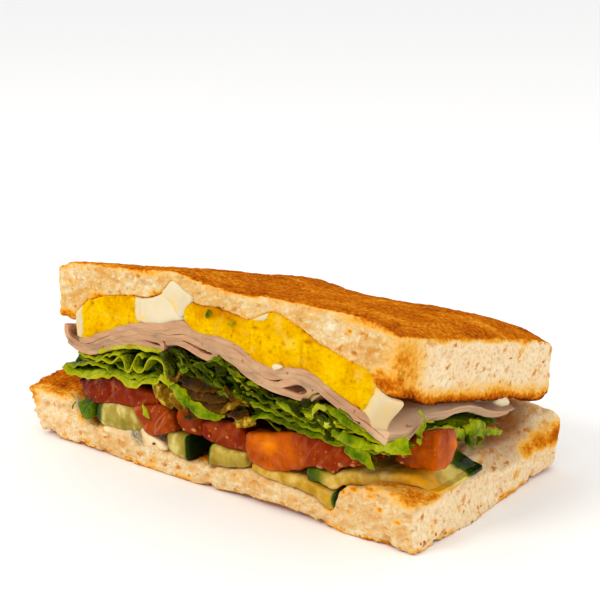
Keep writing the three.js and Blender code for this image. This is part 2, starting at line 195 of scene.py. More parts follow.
def lid_inner(x, y):
    """The height of the top slice's inner face."""
    from_edge = np.minimum(np.minimum(x + HALF, HALF - x), OUTER - y)
    behind = smooth(y, CUT + 1, CUT + 24)
    pressed = lerp(13.4, 8.5, smooth(from_edge, 8, 26))
    return lid_outer(x, y) - lerp(lid_top(x) - lid_under(x), pressed, behind)


def settle(x, z, y):
    """The height at y of what lies at (x, z) on the cut face."""
    y = np.maximum(y, CUT)
    gap_at_cut = lid_under(x) - base_top(x)
    gap = lid_inner(x, y) - base_inner(x, y)
    share = np.maximum(0, (z - base_top(x)) / gap_at_cut)
    return base_inner(x, y) + gap * share ** lerp(2, 1, gap / gap_at_cut)


def refined(points):
    """Near the cut, the CAD's forms drawn to the finer lines between bread, ham and egg."""
    x, y, z = points.T
    stations = np.linspace(-HALF, HALF, STATIONS)
    levels = [(0 * x, 0 * x)]
    for coarse, fine in ((base_top, fine_base_top), (ham_top, fine_ham_top), (lid_under, fine_lid_under)):
        height = np.interp(x, stations, coarse(stations))
        levels.append((height, fine(x) - height))
    levels.append((lid_top(x), 0 * x))
    shift = 0 * z
    for (low, low_shift), (high, high_shift) in zip(levels, levels[1:]):
        t = (z - low) / (high - low)
        shift = np.where((t >= 0) & (t < 1), lerp(low_shift, high_shift, t), shift)
    return np.stack([x, y, z + shift * smooth(y, -12, -25)], 1)


def sighted(points):
    """Points (x, distance behind the cut, z) in the cut's frame. Those near the cut are moved so that the
    camera sees them where x and z say on the cut."""
    points = np.array(points, float)
    ahead = np.where(abs(points[:, 1]) < 2.6, -points[:, 1], 0)
    return points + ahead[:, None] * [SIGHT_X, 0, SIGHT_Z] + [0, CUT, 0]


# ---------- Meshes ----------

def place(points):
    """Points of the cut's frame as metres of the shared frame."""
    return (np.asarray(points, float) + ORIGIN) * MM


def new_mesh(name, points, faces):
    mesh = bpy.data.meshes.new(name)
    mesh.from_pydata(np.asarray(points).tolist(), [], faces)
    return mesh


def new_object(name, data):
    made = bpy.data.objects.new(name, data)
    bpy.context.scene.collection.objects.link(made)
    return made


def evened(mesh, quad):
    """A closed mesh as even small quads: its points and its faces."""
    holder = new_object("holder", mesh)
    remesh = holder.modifiers.new("remesh", "REMESH")
    remesh.mode = "VOXEL"
    remesh.voxel_size = quad
    even = holder.evaluated_get(bpy.context.evaluated_depsgraph_get()).to_mesh()
    points = np.empty(len(even.vertices) * 3, np.float32)
    even.vertices.foreach_get("co", points)
    corners = np.empty(len(even.loops), np.int32)
    even.loops.foreach_get("vertex_index", corners)
    bpy.data.objects.remove(holder)
    return points.reshape(-1, 3).astype(float), corners.reshape(-1, 4)


def cad_copy(node, quad, grow=0.0, rounds=0):
    """A CAD node's form in the cut's frame with the cut face's finer lines, grown and then rounded."""
    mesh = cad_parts[node].data.copy()
    mesh.transform(Matrix.Scale(1 / MM, 4))
    mesh.transform(Matrix.Translation(-Vector(ORIGIN)))
    points, faces = evened(mesh, quad)
    return relaxed(swollen(refined(points), faces, grow), faces, rounds), faces


def merged(parts, quad):
    """Several overlapping closed forms as one."""
    points, faces = joined(parts)
    return evened(new_mesh("merged", points, faces.tolist()), quad)


def curve(corners, step, closed=False):
    """A smooth line through a few points, as points about one step apart."""
    corners = np.array(corners, float)
    ring = np.concatenate([corners[-1:], corners, corners[:2]] if closed else
                          [2 * corners[:1] - corners[1:2], corners, 2 * corners[-1:] - corners[-2:-1]])
    found = []
    for a, b, c, d in zip(ring, ring[1:], ring[2:], ring[3:]):
        count = max(2, int(np.linalg.norm(c - b) / step + 0.5))
        t = np.linspace(0, 1, count, endpoint=False)[:, None]
        found.append(0.5 * (2 * b + (c - a) * t + (2 * a - 5 * b + 4 * c - d) * t ** 2
                            + (3 * b - a - 3 * c + d) * t ** 3))
    if not closed:
        found.append(corners[-1:])
    return np.concatenate(found)


def prism(outline, front, back, quad, rounds=0):
    """A block with a smooth outline (x, z) on the cut face, from y = front to y = back, and rounded."""
    line = curve(outline, 0.6, closed=True)
    count = len(line)
    points = [(x, y, z) for y in (front, back) for x, z in line]
    sides = [(i, (i + 1) % count, count + (i + 1) % count, count + i) for i in range(count)]
    ends = [tuple(range(count))[::-1], tuple(range(count, 2 * count))]
    points, faces = evened(new_mesh("prism", points, sides + ends), quad)
    return relaxed(points, faces, rounds), faces


def shell(top, low):
    """The points and faces of a closed sheet between two grids of points."""
    rows, count = top.shape[:2]
    t = np.arange(rows * count).reshape(rows, count)
    u = t + rows * count

    def quads(*corners):
        return np.stack([v.ravel() for v in corners], 1)

    faces = [
        quads(t[:-1, :-1], t[:-1, 1:], t[1:, 1:], t[1:, :-1]),
        quads(u[:-1, :-1], u[1:, :-1], u[1:, 1:], u[:-1, 1:]),
        quads(u[0, :-1], u[0, 1:], t[0, 1:], t[0, :-1]),
        quads(u[-1, :-1], t[-1, :-1], t[-1, 1:], u[-1, 1:]),
        quads(u[:-1, 0], t[:-1, 0], t[1:, 0], u[1:, 0]),
        quads(u[:-1, -1], u[1:, -1], t[1:, -1], t[:-1, -1]),
    ]
    return np.concatenate([top.reshape(-1, 3), low.reshape(-1, 3)]), np.concatenate(faces)


def directions(line):
    """The unit direction of a line at each of its points."""
    along = np.gradient(line, axis=0)
    return along / np.linalg.norm(along, axis=1, keepdims=True)


def ribbon(line, thickness, front, back, rows, power=1.5, droop=0.0, wave=None, fall=0.0, rounding=0.45):
    """A sheet whose edge on the cut is a line (x, z). Rows of it go back from y = front to y = back.

    Thickness, front and fall may be a number or one for each point of the line. Droop lets what is
    ahead of the cut hang, wave bends the sheet, fall lowers it behind its edge, and rounding thins
    its edge. Returns the points, the faces, and for each point its distance from the front edge."""
    count = len(line)
    along = directions(line)
    across = np.stack([-along[:, 1], along[:, 0]], 1)
    share = np.linspace(0, 1, rows)[:, None] ** power
    y = front + share * (back - front) * np.ones(count)
    inside = y - front
    bend = wave(np.arange(count) / count, share) if wave else 0.0
    grids = []
    for side in (0.5, -0.5):
        offset = side * thickness * (1 - rounding * np.exp(-inside / 0.25)) + bend
        x = line[:, 0] + across[:, 0] * offset
        z = line[:, 1] + across[:, 1] * offset + fall * (1 - np.exp(-inside / 2.4))
        z = settle(x, z, y) - droop * np.maximum(0, CUT - y)
        grids.append(np.stack([x, y, z], -1))
    return *shell(*grids), np.tile(inside.ravel(), 2)


def blade(corners, widths, lean, cup=0.2, ruffle=0.0, thickness=0.34):
    """A strip along a line of points. Lean turns its top edge from upright to further back.

    Returns the points, the faces, and for each point its distance from the strip's edge."""
    line = curve(corners, 0.5)
    count = len(line)
    along = directions(line)
    upright = np.array([0, math.sin(lean), math.cos(lean)])
    across = upright - along * (along @ upright)[:, None]
    across /= np.maximum(np.linalg.norm(across, axis=1, keepdims=True), 1e-6)
    facing = np.cross(along, across)
    width = np.interp(np.linspace(0, 1, count), np.linspace(0, 1, len(widths)), widths)
    t = np.linspace(-1, 1, 7)[:, None]
    phase = np.arange(count) * 1.15 + corners[0][0]
    bend = cup * width * (1 - t * t) + ruffle * np.sin(phase + 0.8 * t) * t * t
    middle = line + across * (0.5 * t * width)[..., None] + facing * bend[..., None]
    half = 0.5 * thickness * (1 - 0.55 * t ** 4) * np.ones(count)
    points, faces = shell(middle + facing * half[..., None], middle - facing * half[..., None])
    return points, faces, np.tile((0.5 * width * (1 - abs(t))).ravel(), 2)


def pebble(centre, radii, seed):
    """A small rounded lump."""
    grid = np.linspace(-1, 1, 4)
    points, faces = [], []
    for axis in range(3):
        for side in (-1, 1):
            start = len(points)
            for a in grid:
                for b in grid:
                    point = [a, b * side]
                    point.insert(axis, side)
                    points.append(point)
            for i in range(3):
                for j in range(3):
                    k = start + 4 * i + j
                    faces.append((k, k + 4, k + 5, k + 1) if axis != 1 else (k, k + 1, k + 5, k + 4))
    points = np.array(points, float)
    points /= np.linalg.norm(points, axis=1, keepdims=True)
    points *= 1 + 0.25 * noise(points * 2, 1.3, seed)[:, None]
    return points * radii + centre, np.array(faces)


def joined(parts):
    """Several (points, faces, value, ...) as one."""
    starts = np.cumsum([0] + [len(part[0]) for part in parts[:-1]])
    faces = np.concatenate([part[1] + start for part, start in zip(parts, starts)])
    values = [np.concatenate([part[i] for part in parts]) for i in range(2, len(parts[0]))]
    return np.concatenate([part[0] for part in parts]), faces, *values


def normals(points, faces):
    """The unit direction that the surface faces at each point."""
    a, b, c, d = (points[faces[:, i]] for i in range(4))
    across = np.cross(c - a, d - b)
    total = np.zeros_like(points)
    for i in range(4):
        np.add.at(total, faces[:, i], across)
    return total / np.maximum(np.linalg.norm(total, axis=1, keepdims=True), 1e-12)


def relaxed(points, faces, rounds):
    """Each point drawn halfway to the middle of its neighbours, round after round, which rounds edges."""
    starts = faces.ravel()
    ends = np.roll(faces, -1, axis=1).ravel()
    count = np.bincount(starts, minlength=len(points)) + np.bincount(ends, minlength=len(points))
    for _ in range(rounds):
        total = np.zeros_like(points)
        np.add.at(total, starts, points[ends])
        np.add.at(total, ends, points[starts])
        points = lerp(points, total / np.maximum(count, 1)[:, None], 0.5)
    return points


def swollen(points, faces, amount):
    """Points moved outwards by an amount, one number or one for each point."""
    return points + normals(points, faces) * np.broadcast_to(amount, len(points))[:, None]


def jittered(points, amount, size, seed, octaves):
    """Points moved about by up to about an amount, in swells of a size."""
    return points + amount * np.stack([noise(points, size, seed + n, octaves) for n in range(3)], 1)


def piece(name, points, faces, material, slot, replaced=(), sharp=0, **values):
    """One mesh of the object. Its material reads the named values: one number or one for each point."""
    mesh = new_mesh(name, place(points), faces.tolist())
    mesh.polygons.foreach_set("use_smooth", [True] * len(mesh.polygons))
    if sharp:
        mesh.set_sharp_from_angle(angle=math.radians(sharp))
    for key, value in values.items():
        attribute = mesh.attributes.new(key, "FLOAT", "POINT")
        attribute.data.foreach_set("value", np.full(len(points), value, np.float32))
    mesh.materials.append(material)
    made = new_object(name, mesh)
    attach(made, "root")
    if replaced:
        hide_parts(*replaced)


# ---------- Materials ----------

def colour(red, green, blue):
    """An sRGB colour, 0 to 255, as Blender's linear one."""
    srgb = np.array([red, green, blue]) / 255
    linear = np.where(srgb < 0.04045, srgb / 12.92, ((srgb + 0.055) / 1.055) ** 2.4)
    return (*linear, 1)


class Finish:
    """A material and the short forms of the nodes that it is made of. Sizes are in millimetres."""

    def __init__(self, name, roughness, subsurface=0.0, radius=(1, 0.5, 0.25), scale=1.0, gloss=0.5,
                 sheen=(1, 1, 1)):
        self.material = bpy.data.materials.new(name)
        self.material.use_nodes = True
        self.tree = self.material.node_tree
        self.shader = self.tree.nodes["Principled BSDF"]
        values = {
            "Roughness": roughness, "Subsurface Weight": subsurface, "Subsurface Radius": radius,
            "Subsurface Scale": scale * MM, "Specular IOR Level": gloss, "Specular Tint": (*sheen, 1)}
        for key, value in values.items():
            self.shader.inputs[key].default_value = value
        self.where = self.add("TexCoord").outputs["Object"]

    def add(self, kind, inputs=(), **settings):
        node = self.tree.nodes.new("ShaderNode" + kind)
        for key, value in settings.items():
            setattr(node, key, value)
        for key, value in dict(inputs).items():
            self.put(value, node.inputs[key])
        return node

    def put(self, value, socket):
        if isinstance(value, bpy.types.NodeSocket):
            self.tree.links.new(value, socket)
        else:
            socket.default_value = value

    def value(self, name):
        """A value that piece() stored at the points."""
        return self.add("Attribute", attribute_name=name).outputs["Fac"]

    def scaled(self, size, stretch, turn):
        inputs = {"Vector": self.where, "Scale": [size * MM / s for s in stretch], "Rotation": turn}
        return self.add("Mapping", inputs, vector_type="TEXTURE").outputs["Vector"]

    def noise(self, size, detail, stretch=(1, 1, 1), distortion=0.0, turn=(0, 0, 0)):
        vector = self.scaled(size, stretch, turn)
        inputs = {"Vector": vector, "Scale": 1.0, "Detail": detail, "Distortion": distortion}
        return self.add("TexNoise", inputs).outputs["Fac"]

    def cells(self, size, wobble=0.0, stretch=(1, 1, 1), turn=(0, 0, 0), feature="F1"):
        """Cells around scattered seeds, with borders that wobble."""
        vector = self.scaled(size, stretch, turn)
        if wobble:
            swell = self.add("TexNoise", {"Vector": vector, "Scale": 1.6}).outputs["Color"]
            steps = (("SUBTRACT", {1: (0.5, 0.5, 0.5)}), ("SCALE", {"Scale": wobble}), ("ADD", {1: vector}))
            for operation, inputs in steps:
                swell = self.add("VectorMath", {0: swell, **inputs}, operation=operation).outputs[0]
            vector = swell
        return self.add("TexVoronoi", {"Vector": vector, "Scale": 1.0}, feature=feature)

    def specks(self, size, reach, rarity, wobble=0.0, ragged=0.0, channel=0, **cells):
        """Specks that fade over a reach of distances, where their cell's random number passes a rarity.

        Returns how much of a speck is at each point, and the distance from the middle of its cell."""
        node = self.cells(size, wobble, **cells)
        away = self.plus(node.outputs["Distance"], ragged) if ragged else node.outputs["Distance"]
        number = self.add("SeparateColor", {"Color": node.outputs["Color"]}).outputs[channel]
        return self.times(self.span(away, *reach), self.span(number, *rarity)), away

    def times(self, a, b):
        return self.add("Math", {0: a, 1: b}, operation="MULTIPLY").outputs[0]

    def plus(self, a, b, clamp=False):
        return self.add("Math", {0: a, 1: b}, operation="ADD", use_clamp=clamp).outputs[0]

    def span(self, value, low, high, to_low=0.0, to_high=1.0):
        inputs = {"Value": value, "From Min": low, "From Max": high, "To Min": to_low, "To Max": to_high}
        return self.add("MapRange", inputs, clamp=True).outputs[0]

    def mix(self, share, *shades):
        """From one shade to another. A shade is a node's or an sRGB one."""
        a, b = (s if isinstance(s, bpy.types.NodeSocket) else colour(*s) for s in shades)
        return self.add("Mix", {0: share, 6: a, 7: b}, data_type="RGBA").outputs[2]

    def ramp(self, value, *stops):
        node = self.add("ValToRGB", {"Fac": value})
        band = node.color_ramp
        for _ in range(len(stops) - 2):
            band.elements.new(0.5)
        for element, (at, shade) in zip(band.elements, stops):
            element.position = at
            element.color = colour(*shade)
        return node.outputs["Color"]

    def bump(self, height, depth):
        """Adds relief: depth is for a height of 1."""
        normal = self.shader.inputs["Normal"]
        inputs = {"Height": height, "Distance": depth * MM}
        if normal.links:
            inputs["Normal"] = normal.links[0].from_socket
        self.put(self.add("Bump", inputs).outputs["Normal"], normal)

    def paint(self, shade):
        self.put(shade, self.shader.inputs["Base Color"])
        return self.material


WARM = (1, 0.78, 0.42)


def make_bread():
    f = Finish("bread", 0.9, subsurface=0.12, radius=(1, 0.55, 0.22), scale=0.8, gloss=0)
    broad = f.noise(5, 3, stretch=(0.6, 0.8, 1.2), distortion=0.4, turn=(0, -0.4, 0))
    fine = f.noise(1.5, 4, stretch=(0.6, 0.8, 1.3), distortion=0.3, turn=(0, -0.4, 0))
    crumb = f.ramp(
        f.plus(f.times(broad, 0.5), f.times(fine, 0.5)),
        (0.34, (203, 140, 62)), (0.46, (213, 169, 100)), (0.56, (220, 194, 144)), (0.68, (232, 221, 191)))
    # Painted light: where pale is set, chiefly on faces that face the right, the crumb is lighter.
    crumb = f.mix(f.times(f.value("pale"), 0.7), crumb, (244, 223, 186))
    crumb = f.mix(f.times(f.span(f.noise(0.8, 5), 0.52, 0.36), 0.4), crumb, (204, 146, 74))
    # Painted highlights: random bright flecks on the crumb.
    crumb = f.mix(f.span(f.noise(0.9, 4), 0.58, 0.72, 0, 0.5), crumb, (250, 236, 206))
    ragged = f.times(f.plus(f.noise(0.9, 4), -0.5), 0.7)
    for size, rarity, shades in ((5, (0.3, 0.5), ((232, 178, 92), (212, 132, 34))),
                                 (3.1, (0.5, 0.6), ((218, 150, 66), (172, 92, 24)))):
        bran, away = f.specks(
            size, (0.3, 0.18), rarity, 0.9, ragged, stretch=(0.8, 0.8, 1.2), turn=(0.2, -0.4, 0.3))
        crumb = f.mix(f.times(bran, 0.85), crumb, f.mix(f.span(away, 0.2, 0.02), *shades))
    # Painted shade: the crumb is darkened where it lies under the lid.
    crumb = f.mix(f.value("stain"), crumb, (132, 70, 14))
    # Painted shade: the crumb is darker in its pits.
    crumb = f.mix(f.times(f.value("pit"), 0.7), crumb, (206, 134, 52))

    grain = f.times(f.plus(f.noise(0.8, 5), -0.5), 0.85)
    patch = f.times(f.plus(f.noise(4, 4, distortion=0.5), -0.5), 0.5)
    toast = f.value("toast")
    toast = f.plus(toast, f.times(f.plus(grain, patch), f.span(toast, 0.03, 0.4)), clamp=True)
    browned = f.ramp(
        toast, (0, (242, 204, 132)), (0.22, (234, 178, 82)), (0.42, (218, 140, 30)),
        (0.6, (192, 100, 12)), (0.78, (150, 68, 8)), (0.9, (100, 42, 8)), (1, (58, 24, 8)))
    shade = f.mix(f.span(toast, 0.05, 0.26), crumb, browned)
    # Painted shade: the crumb is darker in its holes, which the bump sinks.
    hole = f.specks(1.7, (0.3, 0.05), (0.3, 0.6), 0.9, channel=2, stretch=(0.8, 0.8, 1.2))[0]
    shade = f.mix(f.times(hole, 0.5), shade, (192, 122, 46))
    f.bump(f.times(hole, -1), 0.2)
    f.bump(f.times(f.noise(0.9, 5), f.span(f.value("pale"), 0, 0.75, 1, 0.55)), 0.5)
    return f.paint(shade)


def make_yolk():
    f = Finish("yolk", 0.7, subsurface=0.25, radius=(1, 0.5, 0.05), scale=0.8, gloss=0)
    mottle = f.plus(f.times(f.noise(6, 3, distortion=0.4), 0.62), f.times(f.noise(0.9, 4), 0.38))
    shade = f.ramp(
        mottle,
        (0.32, (208, 142, 0)), (0.45, (222, 166, 0)), (0.55, (229, 180, 0)), (0.66, (236, 194, 8)))
    # Painted shade: the yolk is deeper orange in its pits.
    pit, away = f.specks(1.3, (0.3, 0.12), (0.55, 0.8), 0.6)
    shade = f.mix(f.times(pit, 0.14), shade, (214, 132, 0))
    # The yolk's brown specks and crease, and painted shade under the lid.
    shade = f.mix(f.value("stain"), shade, (166, 76, 0))
    shade = f.mix(f.value("pale"), shade, (238, 204, 92))
    f.bump(f.noise(0.8, 5), 0.45)
    f.bump(f.span(away, 0.1, 0.4), 0.22)
    return f.paint(shade)


def make_egg_white():
    f = Finish("egg_white", 0.35, subsurface=0.5, radius=(1, 0.75, 0.4), scale=1.6, gloss=0.22, sheen=WARM)
    shade = f.ramp(f.noise(8, 2), (0.35, (207, 188, 150)), (0.65, (220, 206, 175)))
    shade = f.mix(f.value("pale"), shade, (240, 196, 60))
    # Painted shade: parts of the white are darkened.
    shade = f.mix(f.value("dull"), shade, (203, 172, 116))
    f.bump(f.noise(2.5, 3), 0.1)
    return f.paint(shade)


def make_ham():
    f = Finish("ham", 0.5, subsurface=0.35, radius=(1, 0.45, 0.25), scale=1.6, gloss=0.08, sheen=WARM)
    strands = f.noise(3.4, 4, stretch=(0.4, 1, 2), distortion=0.7)
    shade = f.ramp(
        strands,
        (0.34, (150, 97, 62)), (0.48, (172, 121, 84)), (0.6, (189, 139, 99)), (0.72, (202, 158, 118)))
    # The ham is lighter near the sheets' cut edges; painted light lightens its right end, which lies in
    # shade.
    shade = f.mix(f.times(f.value("rim"), 0.35), shade, (214, 176, 142))
    speck = f.specks(2.4, (0.2, 0.08), (0.68, 0.76), 0.8)[0]
    shade = f.mix(f.times(speck, 0.7), shade, (148, 70, 34))
    f.bump(f.noise(1.2, 4, stretch=(0.6, 1, 1.6)), 0.16)
    return f.paint(shade)


def make_leaf():
    f = Finish("leaf", 0.36, subsurface=0.12, radius=(0.6, 1, 0.05), scale=0.6, gloss=0.1,
               sheen=(0.8, 1, 0.1))
    mottle = f.plus(f.times(f.noise(3, 4), 0.5), f.times(f.noise(0.8, 4), 0.45))
    shade = f.ramp(
        f.plus(f.value("tone"), f.plus(mottle, -0.475)),
        (0, (12, 22, 0)), (0.22, (38, 62, 0)), (0.45, (80, 108, 0)), (0.68, (132, 148, 4)),
        (0.86, (170, 174, 36)), (1, (206, 200, 100)))
    lit = f.times(f.value("rim"), f.span(f.value("tone"), 0.1, 0.6, 0.08, 0.62))
    shade = f.mix(lit, shade, (178, 166, 10))
    shade = f.mix(f.value("brown"), shade, (150, 96, 14))
    veins = f.cells(3.4, 0.5, feature="DISTANCE_TO_EDGE").outputs["Distance"]
    f.bump(f.span(veins, 0, 0.12), 0.16)
    f.bump(f.noise(1.2, 4), 0.3)
    return f.paint(shade)


def make_wilted():
    f = Finish("wilted", 0.2, subsurface=0.2, radius=(1, 0.5, 0.05), scale=1.2, gloss=0.1,
               sheen=(1, 0.6, 0.15))
    mottle = f.plus(f.noise(2.6, 5, distortion=0.5), f.times(f.noise(0.8, 4), 0.5))
    shade = f.ramp(
        f.plus(f.value("tone"), f.plus(mottle, -0.75)),
        (0.1, (12, 4, 0)), (0.35, (30, 13, 0)), (0.6, (66, 36, 0)), (0.85, (130, 92, 0)),
        (1, (196, 164, 50)))
    shade = f.mix(f.times(f.value("rim"), 0.35), shade, (150, 96, 6))
    f.bump(f.noise(1.1, 5), 0.6)
    return f.paint(shade)


def make_tomato():
    f = Finish("tomato", 0.22, subsurface=0.3, radius=(1, 0.3, 0.05), scale=1.6, gloss=0.1,
               sheen=(1, 0.45, 0.15))
    grain = f.times(f.plus(f.noise(2.4, 5, distortion=0.5), -0.5), 0.5)
    shade = f.ramp(
        f.plus(f.value("hue"), grain, clamp=True), (0, (84, 6, 0)), (0.22, (120, 26, 0)),
        (0.45, (142, 50, 0)), (0.7, (182, 80, 0)), (0.88, (214, 112, 0)), (1, (226, 136, 6)))
    fibres = f.span(f.noise(2.6, 4, stretch=(1.8, 1, 0.45), distortion=0.8, turn=(0, 0.6, 0)), 0.52, 0.64)
    shade = f.mix(f.times(fibres, f.value("pale")), shade, (178, 96, 52))
    glint = f.specks(1.1, (0.3, 0.08), (0.75, 0.8))[0]
    shade = f.mix(f.times(glint, 0.5), shade, (214, 130, 44))
    f.bump(f.noise(1.6, 4), 0.26)
    return f.paint(shade)


def make_cucumber():
    f = Finish("cucumber", 0.22, subsurface=0.3, radius=(0.9, 1, 0.2), scale=1.6, gloss=0.14, sheen=WARM)
    flesh = f.ramp(
        f.noise(3.4, 4, stretch=(1, 0.8, 0.8), distortion=0.3),
        (0.36, (126, 110, 24)), (0.5, (162, 140, 52)), (0.64, (208, 192, 118)))
    flesh = f.mix(f.value("olive"), flesh, (136, 96, 8))
    uneven = f.span(f.noise(1.6, 5), 0.34, 0.62, 0.55, 1)
    flesh = f.mix(f.times(f.value("amber"), uneven), flesh, (240, 166, 6))
    flesh = f.mix(f.times(f.value("fresh"), uneven), flesh, (222, 204, 104))
    rind = f.value("rind")
    green = f.ramp(
        f.plus(rind, f.times(f.plus(f.noise(1.5, 3), -0.5), 0.35), clamp=True),
        (0.1, (138, 132, 24)), (0.35, (88, 104, 4)), (0.65, (40, 64, 2)), (0.9, (18, 34, 2)))
    shade = f.mix(f.span(rind, 0.05, 0.4), flesh, green)
    f.bump(f.noise(1.4, 4), 0.15)
    return f.paint(shade)


def make_plain(name, dark, light, size, roughness, subsurface, depth):
    """A small thing's finish: two shades mottled, with a little relief."""
    f = Finish(name, roughness, subsurface=subsurface)
    shade = f.ramp(f.noise(size, 3), (0.35, dark), (0.65, light))
    f.bump(f.noise(size / 2, 3), depth)
    return f.paint(shade)


# ---------- Camera and light ----------

def make_camera():
    """The photograph's view: the near corner of the cut points at the camera."""
    azimuth, elevation, roll = (math.radians(a) for a in (38.978, 15.456, -0.767))
    spot, lens, sensor = (186.91, -223.29, 116.04), 78, 36
    turns = ((azimuth, "Z"), (math.pi / 2 - elevation, "X"), (roll, "Z"))
    turned, tipped, rolled = (Matrix.Rotation(angle, 4, axis) for angle, axis in turns)
    camera = new_object("camera", bpy.data.cameras.new("camera"))
    camera.matrix_world = turned @ tipped @ rolled
    camera.location = place([spot])[0]
    camera.data.lens = lens
    camera.data.sensor_width = sensor
    camera.data.clip_start = 0.01
    bpy.context.scene.camera = camera


def make_lamp(name, spot, size, power, shade):
    """A square lamp that points at the middle of the object. Spot and size are in metres."""
    lamp = bpy.data.lights.new(name, "AREA")
    lamp.energy = power
    lamp.size = size
    lamp.color = shade
    holder = new_object(name, lamp)
    holder.location = spot
    holder.rotation_euler = (Vector((0, 0, 0.025)) - Vector(spot)).to_track_quat("-Z", "Y").to_euler()


def make_stage():
    """A wide pale floor, an even pale sky, a warm key lamp and a weaker one from the right."""
    reach, floor_grey, sky_strength = 3, 0.95, 0.95
    corners = [(x * reach, y * reach, 0) for x, y in ((-1, -1), (1, -1), (1, 1), (-1, 1))]
    floor = new_object("floor", new_mesh("floor", corners, [(0, 1, 2, 3)]))
    floor.data.materials.append(Finish("floor", 0.9).paint((floor_grey, floor_grey, floor_grey, 1)))
    world = bpy.data.worlds.new("studio")
    bpy.context.scene.world = world
    world.use_nodes = True
    sky = world.node_tree.nodes["Background"].inputs
    sky["Color"].default_value = (1, 1, 1, 1)
    sky["Strength"].default_value = sky_strength
    make_lamp("key", (-0.35, -0.75, 0.75), 0.35, 4.5, (1, 0.93, 0.8))
    make_lamp("side", (0.9, -0.1, 0.5), 0.4, 1.2, (1, 0.95, 0.85))
    bpy.context.scene.view_settings.view_transform = "Standard"


make_camera()
make_stage()


# ---------- Bread ----------

bread = make_bread()
# Browned patches: the middle of each, its reach along X, Y and Z, and how dark it is.
BASE_PATCHES = [
    ((-57, -27, 9), (3.4, 6, 3.6), 0.55), ((-57, -28, 4), (2.4, 6, 3), 0.36),
    ((-52, -20, 12.5), (9, 8, 3), 0.7), ((-48.5, CUT, 11.3), (8, 3, 1.2), 0.62),
    # The first patch below is toast along the near edge and also painted shadow under cucumber 5.
    ((49, -25, 11.8), (11, 4.6, 2), 0.5), ((55.4, -25.4, 10.4), (4, 4.6, 2), 0.66),
    ((56.2, -27.4, 10.4), (2, 2, 1.4), 0.84), ((57.2, -20, 9.6), (2, 5, 1.5), 0.72),
    ((57.2, -12, 9), (1.8, 4, 1.2), 0.5), ((57, 17.5, 6.6), (3, 2.8, 2), 0.58),
    ((57, 22, 7.2), (3, 3.4, 2.2), 0.62), ((57.4, 27, 7.6), (4.4, 4.4, 2.6), 0.74),
    ((-45, 5, 12.5), (16, 30, 4), 0.62), ((-30, CUT, 5.6), (8, 2, 1), 0.3),
    ((-38.5, -28, 7), (1.6, 3, 2), 0.45), ((36, -28, 3.4), (1.4, 2, 0.8), 0.62),
    ((39.6, CUT, 8.2), (1, 1.4, 0.6), 0.6), ((42.4, CUT, 9.2), (1.6, 1.4, 0.5), 0.6),
    ((46.4, CUT, 10.4), (2, 1.4, 0.5), 0.66), ((46.8, CUT, 8.8), (1.6, 1.2, 0.4), 0.5),
    ((48.8, CUT, 6.6), (1, 1, 0.5), 0.6), ((53, CUT, 5), (1, 1, 0.6), 0.5),
    ((51.6, CUT, 10.8), (1.2, 1.2, 0.7), 0.5), ((46, CUT, -0.8), (1.6, 2, 0.6), 0.6),
    ((55, 1, 9.4), (1.2, 1, 0.7), 0.55), ((54, 3.4, 11), (2, 1, 0.7), 0.45),
]
LID_PATCHES = [
    ((-41, CUT, 31.8), (4.4, 3, 1.3), 0.62), ((-30, CUT, 38), (3.8, 3, 1), 0.5),
    ((-17, CUT, 46.2), (7, 3, 0.9), 0.5), ((-11, CUT, 41.4), (3, 3, 0.8), 0.42),
    ((-44, -27, 38), (1.6, 5, 7), 0.25), ((-42, -28, 43.6), (3, 3, 1.2), 0.4),
    ((50, -28, 33), (6, 6, 2.6), 0.68), ((54.4, -27, 36), (4, 6, 9), 0.4),
    ((54.2, -28.4, 38.5), (1.6, 2, 1.8), 0.58), ((53.5, CUT, 34.4), (1.4, 2, 1.8), 0.74),
    ((56, -25.2, 34.4), (2, 2.6, 2.4), 0.8), ((55.6, -23, 43.4), (2, 5, 1.7), 0.6),
    ((56.5, -4, 37.6), (2, 3, 1), 0.55), ((56.5, 17, 32), (2, 3, 1), 0.6),
    ((50, CUT, 45), (10, 5, 1.2), 0.55), ((49, CUT, 35.5), (1.5, 1, 1), 0.5),
    ((41.5, CUT, 42.4), (0.8, 1, 0.6), 0.5),
]


def squared(points, reach):
    """The right back corner, which the CAD rounds, drawn out again."""
    x, y, z = points.T
    gain = reach * smooth(y, 19, 28.6) * smooth(x, 44, 54)
    return np.stack([x + gain, y + 0.3 * gain, z], 1)


def bake(name, node, points, faces, ragged, outer, patches, pale, stain):
    """A slice of bread with its open crumb: a coarse and a fine swell, and pits where bubbles were cut.

    Ragged is how far its skin stands out or in, and outer how toasted it is apart from its patches."""
    for centre, radii, strength in patches:
        outer = np.maximum(outer, strength * blob(points, centre, radii))
    swell = 0.2 * noise(points, 5, 11) + 0.18 * noise(points, 1.8, 12) + 0.14 * noise(points, 0.9, 13)
    away, number = cells(points * [0.8, 0.8, 1.3], 2.8, 20)
    pit = smooth(away, 0.4, 0.1) * smooth(number, 0.55, 1)
    points = swollen(points, faces, swell - 0.6 * pit + ragged)
    points[:, 2] = np.maximum(points[:, 2], FLOOR)
    piece(name, points, faces, bread, "toast", [node], toast=outer, pale=pale, stain=stain, pit=pit)


